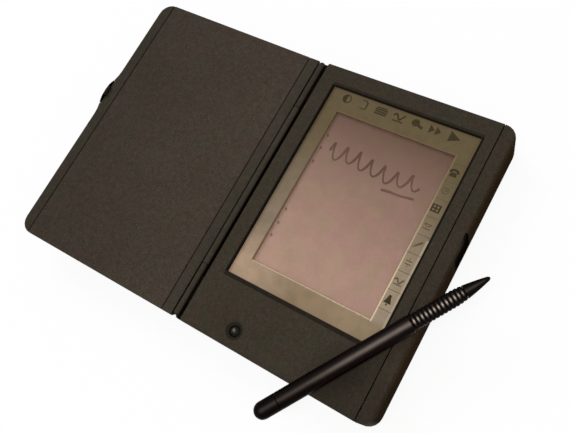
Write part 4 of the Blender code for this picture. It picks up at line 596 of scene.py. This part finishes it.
# The way that the painted highlights on the pen face
PEN_HIGHLIGHT_FACING = (0.13, -0.09, 0.99)
DRAWN_ALONG_X, DRAWN_ALONG_Y = (0.1, 1.0, 1.0), (1.0, 0.05, 1.0)

# Casing with painted shade on its walls, in its recesses and its dish, painted light towards its lower end,
# the pen's painted shadow and painted warm shade on the rail's outer side
CASING = moulded(
    "casing_plastic", linear(57, 51, 42), specular=0.035, speckle=0.46,
    slopes=CASING_SLOPES, recesses=PAINTED_SHADE_RECESSES, dish=BUTTON_DISH_SHADE, add_painted_shade=casing_painted_shade)
# Painted light on the lid: darker towards its outer edge and paler towards the hinge
LID_FACE = moulded(
    "lid_panel_plastic", linear(61, 54, 46), 0.75, specular=0.05, grain=0.7 * MM, speckle=0.55,
    height=0.04 * MM, slopes=((0, -0.155, -0.062, 0.88, 1.16, False),))
# Painted light on the lid's strips: darker towards the outer edge and paler towards the hinge, with painted
# shade beside the hinge groove
LID_TRIM = moulded(
    "lid_trim_plastic", linear(53, 48, 40), specular=0.05, speckle=0.46, wear=0.34,
    slopes=((0, -0.155, -0.066, 0.97, 1.22, False),), recesses=HINGE_PAINTED_SHADE)
SATIN = moulded(
    "satin_black", linear(20, 17, 15), 0.42, specular=0.2, grain=0.25 * MM, speckle=0.2, height=0.006 * MM)
LATCH = moulded(
    "latch_black", linear(14, 11, 9), 0.5, specular=0.04, grain=0.25 * MM, speckle=0.2, height=0.006 * MM)
IVORY = moulded(
    "ivory_plastic", linear(200, 192, 176), 0.45, specular=0.4, grain=0.3 * MM, speckle=0.05,
    height=0.006 * MM, wear=0.2)
CHIP = moulded(
    "chip_epoxy", linear(34, 34, 36), 0.5, specular=0.4, grain=0.18 * MM, speckle=0.2,
    height=0.008 * MM, wear=0.3)
# Pen, grip and button with painted highlights where they face one way; on the grip only on the crests of its
# ribs
PEN = polished_with_painted_highlight("pen_black", BLACK, linear(114, 104, 97), PEN_HIGHLIGHT_FACING)
GRIP = polished_with_painted_highlight("grip_black", BLACK, linear(190, 180, 168), PEN_HIGHLIGHT_FACING, ribs=True)
BUTTON = polished_with_painted_highlight(
    "button_black", linear(13, 9, 6), linear(120, 114, 104), (-0.10, 0.08, 0.99),
    tight=60.0, roughness=0.16, specular=0.10, pen=False)
BLACK_STEEL = metal("blackened_steel", linear(44, 42, 40), 0.45, DRAWN_ALONG_Y)
LOOKS = {
    "casing": CASING,
    "lid_face": LID_FACE,
    "black_plastic": SATIN,
    "gloss_black": PEN,
    "overlay": printed_film(),
    "screen_glass": clear_sheet(),
    "lcd": display(),
    "steel": metal("plated_steel", linear(186, 186, 184), 0.32, DRAWN_ALONG_Y),
    "nickel": metal("nickel_plate", linear(204, 201, 194), 0.26, DRAWN_ALONG_X),
    "board": board_mask(),
    "chip": CHIP,
    "ribbon": film_cable(),
    "brass": metal("brass_disc", linear(206, 178, 112), 0.3),
    "cell": cell_wrap(),
    "ivory_plastic": IVORY,
}
# Nodes that don't have the look of their slot
NODE_LOOKS = {
    "lid_edge_strip": LID_TRIM,
    "lid_hinge_strip": LID_TRIM,
    "latch": LATCH,
    "power_button": BUTTON,
    "pen_grip": GRIP,
    "hinge_pin_upper": BLACK_STEEL,
    "hinge_pin_lower": BLACK_STEEL,
}


def look(node):
    return NODE_LOOKS.get(node, LOOKS[SLOTS[node]])


# ---------------------------------------------------------------- pieces

# Shown pieces that get a fine rounded edge: node, and the width of the rounding in mm
FINE_EDGES = {
    "top_case": 0.18,
    "side_rail": 0.18,
    "bottom_case": 0.18,
    "battery_door": 0.18,
    "lid_shell": 0.15,
    "lid_panel": 0.12,
    "lid_edge_strip": 0.12,
    "lid_hinge_strip": 0.10,
    "hinge_knuckle_upper": 0.12,
    "hinge_knuckle_lower": 0.12,
    "latch": 0.15,
    "screen_overlay": 0.04,
    "card_eject_button": 0.20,
    "serial_port": 0.15,
    "power_button": 0.10,
    "card_cage": 0.08,
    "pen_end_cap": 0.10,
    "pen_barrel": 0.10,
    "pen_grip": 0.06,
    "pen_tip": 0.08,
}

# Corners nearer than the first are one corner, and faces that turn less than the second are one face
SAME_PLACE, SAME_PLANE = 0.000001, math.radians(0.4)

# Edges that turn more than the first are shaded sharp, and more than the second are rounded
SHARP_EDGE, ROUNDED_EDGE = math.radians(38), math.radians(50)


def show(name, mesh, material):
    """A new object in the scene with one material."""
    mesh.materials.append(material)
    piece = bpy.data.objects.new(name, mesh)
    bpy.context.scene.collection.objects.link(piece)
    return piece


def fine_copy(node, width):
    """A node's own form with its flat faces made whole and its corners rounded off."""
    form = bmesh.new()
    form.from_mesh(NODES[node].data)
    bmesh.ops.remove_doubles(form, verts=form.verts, dist=SAME_PLACE)
    bmesh.ops.dissolve_limit(form, angle_limit=SAME_PLANE, verts=form.verts, edges=form.edges)
    mesh = bpy.data.meshes.new(node + "_fine")
    form.to_mesh(mesh)
    form.free()
    normals = mesh.attributes.get("custom_normal")
    if normals is not None:
        mesh.attributes.remove(normals)
    mesh.shade_smooth()
    mesh.set_sharp_from_angle(angle=SHARP_EDGE)
    piece = show(node + "_fine", mesh, look(node))
    bevel = piece.modifiers.new("fine_edges", "BEVEL")
    bevel.limit_method = "ANGLE"
    bevel.angle_limit = ROUNDED_EDGE
    bevel.width = width * MM
    bevel.segments = 2
    bevel.use_clamp_overlap = False
    bevel.harden_normals = True
    bevel.miter_outer = "MITER_ARC"
    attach(piece, BODIES[node])
    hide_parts(node)


for node, item in NODES.items():
    if node in FINE_EDGES:
        fine_copy(node, FINE_EDGES[node])
    else:
        item.data.materials.clear()
        item.data.materials.append(look(node))


# ---------------------------------------------------------------- printed marks

# An arc of more than this is a whole circle
WHOLE_TURN = math.tau - 0.001


def arc(x, y, radius, start, end, steps):
    """Points along an arc, with both of its ends."""
    angles = [start + (end - start) * index / steps for index in range(steps + 1)]
    return [(x + radius * math.cos(angle), y + radius * math.sin(angle)) for angle in angles]


class Marks:
    """Flat shapes on one level, gathered into one thin piece."""

    def __init__(self, level):
        self.level = level
        self.form = bmesh.new()

    def polygon(self, points):
        self.form.faces.new([self.form.verts.new((x, y, self.level)) for x, y in points])

    def strip(self, points, widths):
        """A ribbon along points, with a width at each, and no overlap at its bends."""
        sides = []
        for index, (x, y) in enumerate(points):
            before = Vector(points[max(index - 1, 0)])
            after = Vector(points[min(index + 1, len(points) - 1)])
            along = (after - before).normalized()
            half = widths[index] / 2
            sides.append((
                self.form.verts.new((x - along.y * half, y + along.x * half, self.level)),
                self.form.verts.new((x + along.y * half, y - along.x * half, self.level)),
            ))
        for (left, right), (next_left, next_right) in zip(sides, sides[1:]):
            self.form.faces.new((left, right, next_right, next_left))

    def bar(self, x0, y0, x1, y1, width):
        self.strip([(x0, y0), (x1, y1)], [width, width])

    def ring(self, x, y, radius, width, start=0.0, end=math.tau, steps=28):
        """A whole ring with its width inside the radius, or part of one with its width astride it."""
        points = arc(x, y, radius, start, end, steps)
        if end - start <= WHOLE_TURN:
            self.strip(points, [width] * len(points))
            return
        share = 1 - width / radius
        inner = [(x + (px - x) * share, y + (py - y) * share) for px, py in points]
        for index in range(steps):
            self.polygon((inner[index], points[index], points[index + 1], inner[index + 1]))

    def disc(self, x, y, radius, start=0.0, end=math.tau, steps=20):
        points = arc(x, y, radius, start, end, steps)
        self.polygon(points[:-1] if end - start > WHOLE_TURN else points)

    def done(self, name, body, material, thickness):
        bmesh.ops.recalc_face_normals(self.form, faces=self.form.faces)
        for face in self.form.faces:
            if face.normal.z < 0:
                face.normal_flip()
        mesh = bpy.data.meshes.new(name)
        self.form.to_mesh(mesh)
        self.form.free()
        piece = show(name, mesh, material)
        thick = piece.modifiers.new("thickness", "SOLIDIFY")
        thick.thickness = thickness
        thick.offset = -1
        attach(piece, body)


def icon(marks, kind, x, y, size):
    """One plain symbol, drawn about its middle."""
    def at(u, v):
        return x + u * size, y + v * size

    line = size * 0.27
    if kind == "contrast":
        marks.ring(x, y, size, line)
        marks.disc(x, y, size * 0.78, math.pi / 2, math.pi * 1.5)
    elif kind == "page":
        marks.bar(*at(-0.6, 0.9), *at(0.3, 0.9), line * 0.8)
        marks.bar(*at(0.6, 0.6), *at(0.6, -0.9), line)
        marks.bar(*at(0.46, -0.9), *at(-0.6, -0.9), line * 0.8)
        marks.polygon([at(0.3, 1.0), at(0.3, 0.5), at(0.75, 0.5)])
    elif kind == "keys":
        for v in (-0.62, -0.2, 0.22):
            marks.bar(*at(-1.1, v), *at(1.1, v), size * 0.3)
        marks.bar(*at(-0.85, 0.58), *at(0.85, 0.58), size * 0.24)
    elif kind == "swirl":
        wave = [0.1 + 0.5 * math.sin(math.tau * step / 14) for step in range(19)]
        points = [at(-1.1 + 2.2 * step / 18, rise) for step, rise in enumerate(wave)]
        marks.strip(points, [line * 1.3] * 19)
        marks.bar(*at(-1.0, -0.8), *at(1.0, -0.8), line)
    elif kind == "lens":
        marks.disc(*at(-0.3, 0.15), size * 0.66)
        marks.bar(*at(0.25, -0.15), *at(1.1, -0.45), line * 1.8)
    elif kind == "turns":
        marks.polygon([at(-1.1, 0.8), at(-0.15, 0.0), at(-1.1, -0.8)])
        marks.polygon([at(0.0, 0.8), at(0.95, 0.0), at(0.0, -0.8)])
    elif kind == "flag":
        marks.polygon([at(-0.9, 1.0), at(1.05, -0.1), at(-0.9, -1.0)])
    elif kind == "handset":
        marks.ring(*at(0, -0.25), size * 0.95, line * 1.9, 0.3, math.pi - 0.3, 14)
        marks.polygon([at(-0.8, -0.85), at(0.8, -0.85), at(0.55, 0.1), at(-0.55, 0.1)])
    elif kind == "clock":
        marks.ring(x, y, size * 0.9, line)
        marks.bar(*at(0, -0.05), *at(0, 0.6), line)
        marks.bar(*at(-0.05, 0), *at(0.5, 0), line)
    elif kind == "grid":
        for u in (-0.8, 0.0, 0.8):
            marks.bar(*at(u, -0.9), *at(u, 0.9), line * 1.3)
        for v in (-0.72, 0.0, 0.72):
            marks.bar(*at(-0.62, v), *at(-0.18, v), line)
            marks.bar(*at(0.18, v), *at(0.62, v), line)
    elif kind == "envelope":
        marks.bar(*at(-0.9, 0.6), *at(0.9, 0.6), line)
        marks.bar(*at(-0.9, -0.6), *at(0.9, -0.6), line)
        marks.bar(*at(-0.8, 0.45), *at(-0.05, -0.1), line * 0.8)
        marks.bar(*at(0.8, 0.45), *at(0.05, -0.1), line * 0.8)
    elif kind == "pencil":
        marks.bar(*at(-0.5, -0.5), *at(0.9, 0.9), line * 1.8)
        marks.polygon([at(-1.0, -1.0), at(-0.42, -0.7), at(-0.7, -0.42)])
    elif kind == "sum":
        marks.bar(*at(-0.7, 0.45), *at(0.7, 0.45), line)
        marks.bar(*at(-0.7, -0.35), *at(0.7, -0.35), line)
        marks.disc(*at(0, 0.9), size * 0.16, steps=10)
        marks.disc(*at(0, -0.85), size * 0.16, steps=10)
    elif kind == "bell":
        top = [at(0.24, 1.1), at(-0.24, 1.1)]
        marks.polygon([at(-0.8, -0.7), at(0.8, -0.7), at(0.42, 0.3), *top, at(-0.42, 0.3)])
        marks.disc(*at(0, -0.98), size * 0.2, steps=10)


# How high the marks stand over what they are printed on, and how thick the mask's symbols are
MARK_RISE, SYMBOL_THICKNESS = 0.03 * MM, 0.015 * MM

# Row at the mask's top, from the left: symbol, and size in mm
TOP_ROW = (
    ("contrast", 2.6),
    ("page", 2.7),
    ("keys", 3.1),
    ("swirl", 2.9),
    ("lens", 3.2),
    ("turns", 3.1),
    ("flag", 3.1),
)
TOP_ROW_X, TOP_ROW_Y, TOP_ROW_STEP = -0.0343, 0.0643, 0.01026

# Column at the mask's right, from the top: place in it and symbol, in full ink and in faint ink
COLUMN = ((0, "handset"), (2, "grid"), (7, "bell"))
FAINT_COLUMN = ((1, "clock"), (3, "envelope"), (4, "pencil"), (5, "sum"), (6, "swirl"))
COLUMN_X, FAINT_COLUMN_X, COLUMN_Y, COLUMN_STEP = 0.0352, 0.0355, 0.0467, 0.0101
COLUMN_SIZE, FAINT_COLUMN_SIZE = 2.4 * MM, 2.1 * MM

# Lines between the fields of the column
FIELD_LINES, FIELD_Y, FIELD_LEFT, FIELD_RIGHT = 9, 0.0518, 0.0325, 0.0393


def overlay_marks():
    """A row and a column of plain symbols on the mask round the screen, some of them faint."""
    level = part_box("screen_overlay")[1].z + MARK_RISE
    marks = Marks(level)
    for number, (kind, size) in enumerate(TOP_ROW):
        icon(marks, kind, TOP_ROW_X + TOP_ROW_STEP * number, TOP_ROW_Y, size * MM)
    for number, kind in COLUMN:
        icon(marks, kind, COLUMN_X, COLUMN_Y - COLUMN_STEP * number, COLUMN_SIZE)
    mask_ink = ink("mask_ink", linear(60, 51, 33))
    marks.done("mask_symbols", "body", mask_ink, SYMBOL_THICKNESS)
    faint = Marks(level)
    for number, kind in FAINT_COLUMN:
        icon(faint, kind, FAINT_COLUMN_X, COLUMN_Y - COLUMN_STEP * number, FAINT_COLUMN_SIZE)
    for number in range(FIELD_LINES):
        y = FIELD_Y - COLUMN_STEP * number
        faint.bar(FIELD_LEFT, y, FIELD_RIGHT, y, 0.25 * MM)
    faint_ink = ink("faint_ink", linear(92, 78, 58))
    faint.done("mask_faint_symbols", "body", faint_ink, SYMBOL_THICKNESS)


# Wavy stroke on the display: where it starts, its length, its humps' heights in mm, and points per hump
STROKE_X, STROKE_Y, STROKE_LENGTH = -0.0302, 0.0345, 0.0530
STROKE_HUMPS = (4.9, 4.2, 4.6, 4.0, 4.4, 3.8, 4.2)
STROKE_STEPS = 14

# Line under it: where it starts, its length, how much it rises, and the number of its parts
LINE_X, LINE_Y, LINE_LENGTH, LINE_RISE, LINE_STEPS = 0.0056, 0.0252, 0.0175, 0.0016, 8

# Entry dots down the left side of the display
DOT_LEFT, DOT_RIGHT, DOT_HALF_HEIGHT = -0.0349, -0.0341, 0.0007
DOTS_Y = (0.0418, 0.0339, 0.0254, -0.0042, -0.0124, -0.0198)


def screen_marks():
    """What the display shows: a wavy pen stroke, a line under it and six entry dots."""
    marks = Marks(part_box("lcd_glass")[1].z + MARK_RISE)
    points = []
    widths = []
    for number, height in enumerate(STROKE_HUMPS):
        for step in range(STROKE_STEPS):
            share = (number + step / STROKE_STEPS) / len(STROKE_HUMPS)
            angle = math.tau * step / STROKE_STEPS
            rise = height * MM * math.sin(angle) + 0.0011 * math.sin(share * 7)
            points.append((STROKE_X + STROKE_LENGTH * share + 0.0009 * math.cos(angle), STROKE_Y + rise))
            widths.append((1.25 + 0.3 * math.sin(angle + 1.0)) * MM)
    marks.strip(points, widths)
    points = []
    widths = []
    for step in range(LINE_STEPS + 1):
        y = LINE_Y + LINE_RISE * step / LINE_STEPS + 0.0002 * math.sin(step)
        points.append((LINE_X + LINE_LENGTH * step / LINE_STEPS, y))
        widths.append((1.35 + 0.12 * math.sin(step * 1.3)) * MM)
    marks.strip(points, widths)
    for y in DOTS_Y:
        marks.bar(DOT_LEFT, y + DOT_HALF_HEIGHT, DOT_RIGHT, y - DOT_HALF_HEIGHT, 1.1 * MM)
    marks.done("display_strokes", "body", ink("display_ink", linear(56, 16, 6)), 0.02 * MM)


overlay_marks()
screen_marks()


# ---------------------------------------------------------------- stage, light and camera

# Floor: its size, how far it lies below the object, its colour, and its share of plain white for the eye
FLOOR_SIZE, FLOOR_GAP = 4, 0.1 * MM
FLOOR_COLOUR, FLOOR_GLOW = (0.96, 0.96, 0.96, 1), 0.90
ROOM_LIGHT = 0.47

# The photograph's camera: width of the picture and focal length in pixels, its axes and its place
PHOTO_WIDTH, FOCAL_LENGTH = 577, 651.746
CAMERA_RIGHT = (0.83530053, 0.48460421, -0.25967630)
CAMERA_DOWN = (0.38761156, -0.85403551, -0.34695911)
CAMERA_AHEAD = (-0.38991063, 0.18916159, -0.90121451)
CAMERA_PLACE = (0.10007, -0.07099, 0.32008)


def seen_rays(tree):
    """1 for rays of the eye, of gloss and through clear pieces, and 0 for the light that falls on things."""
    paths = tree.nodes.new("ShaderNodeLightPath")
    seen = paths.outputs["Is Camera Ray"]
    for kind in ("Is Glossy Ray", "Is Transmission Ray"):
        either = tree.nodes.new("ShaderNodeMath")
        either.operation = "MAXIMUM"
        tree.links.new(seen, either.inputs[0])
        tree.links.new(paths.outputs[kind], either.inputs[1])
        seen = either.outputs[0]
    return seen


def stage_floor():
    """Pale floor that keeps the object's shadow and meets a white background."""
    mesh = bpy.data.meshes.new("floor")
    form = bmesh.new()
    bmesh.ops.create_grid(form, x_segments=2, y_segments=2, size=FLOOR_SIZE)
    bmesh.ops.translate(form, verts=form.verts, vec=(0, 0, -FLOOR_GAP))
    form.to_mesh(mesh)
    form.free()
    material = bpy.data.materials.new("pale_floor")
    material.use_nodes = True
    tree = material.node_tree
    tree.nodes.clear()
    share = tree.nodes.new("ShaderNodeMath")
    share.operation = "MULTIPLY"
    share.inputs[1].default_value = FLOOR_GLOW
    tree.links.new(seen_rays(tree), share.inputs[0])
    plain = tree.nodes.new("ShaderNodeBsdfDiffuse")
    plain.inputs["Color"].default_value = FLOOR_COLOUR
    white = tree.nodes.new("ShaderNodeEmission")
    white.inputs["Strength"].default_value = 1.0
    both = tree.nodes.new("ShaderNodeMixShader")
    for source, socket in zip((share, plain, white), both.inputs):
        tree.links.new(source.outputs[0], socket)
    output = tree.nodes.new("ShaderNodeOutputMaterial")
    tree.links.new(both.outputs[0], output.inputs["Surface"])
    floor = show("floor", mesh, material)


def surroundings():
    """White all round for the eye and for gloss, and a plain level of light for the rest."""
    world = bpy.data.worlds.new("studio")
    world.use_nodes = True
    tree = world.node_tree
    back = tree.nodes["Background"]
    back.inputs["Color"].default_value = WHITE
    strength = tree.nodes.new("ShaderNodeMapRange")
    strength.inputs["To Min"].default_value = ROOM_LIGHT
    strength.inputs["To Max"].default_value = 1.0
    tree.links.new(seen_rays(tree), strength.inputs["Value"])
    tree.links.new(strength.outputs[0], back.inputs["Strength"])
    bpy.context.scene.world = world


def lamp(name, place, power, size, colour=(1, 1, 1), length=None, heading=0.0):
    """A soft square lamp aimed at the object, or a level strip of the given length and heading."""
    light = bpy.data.lights.new(name, "AREA")
    light.energy = power
    light.size = size
    light.color = colour
    item = bpy.data.objects.new(name, light)
    item.location = place
    if length:
        light.shape = "RECTANGLE"
        light.size = length
        light.size_y = size
        item.rotation_euler = (0, 0, heading)
    else:
        item.rotation_euler = (-Vector(place)).to_track_quat("-Z", "Y").to_euler()
    bpy.context.scene.collection.objects.link(item)


def camera():
    """The photograph's own view, as fitted to its edges and corners."""
    lens = bpy.data.cameras.new("camera")
    lens.sensor_width = 36
    lens.lens = FOCAL_LENGTH * 36 / PHOTO_WIDTH
    lens.clip_start = 0.01
    lens.clip_end = 20
    item = bpy.data.objects.new("camera", lens)
    rows = [
        (right, -down, -ahead, place)
        for right, down, ahead, place in zip(CAMERA_RIGHT, CAMERA_DOWN, CAMERA_AHEAD, CAMERA_PLACE)
    ]
    item.matrix_world = Matrix([*rows, (0, 0, 0, 1)])
    bpy.context.scene.collection.objects.link(item)
    bpy.context.scene.camera = item


stage_floor()
surroundings()
lamp("key", (-1.30, 0.85, 1.45), power=13.0, size=0.75)
lamp("top", (0.10, -0.30, 1.60), power=9.0, size=0.14, length=0.95, heading=0.57)
lamp("low_fill", (0.70, -0.25, 0.22), power=0.7, size=0.40, colour=(1.0, 0.42, 0.28))
camera()
bpy.context.scene.view_settings.view_transform = "Standard"

bpy.context.view_layer.update()
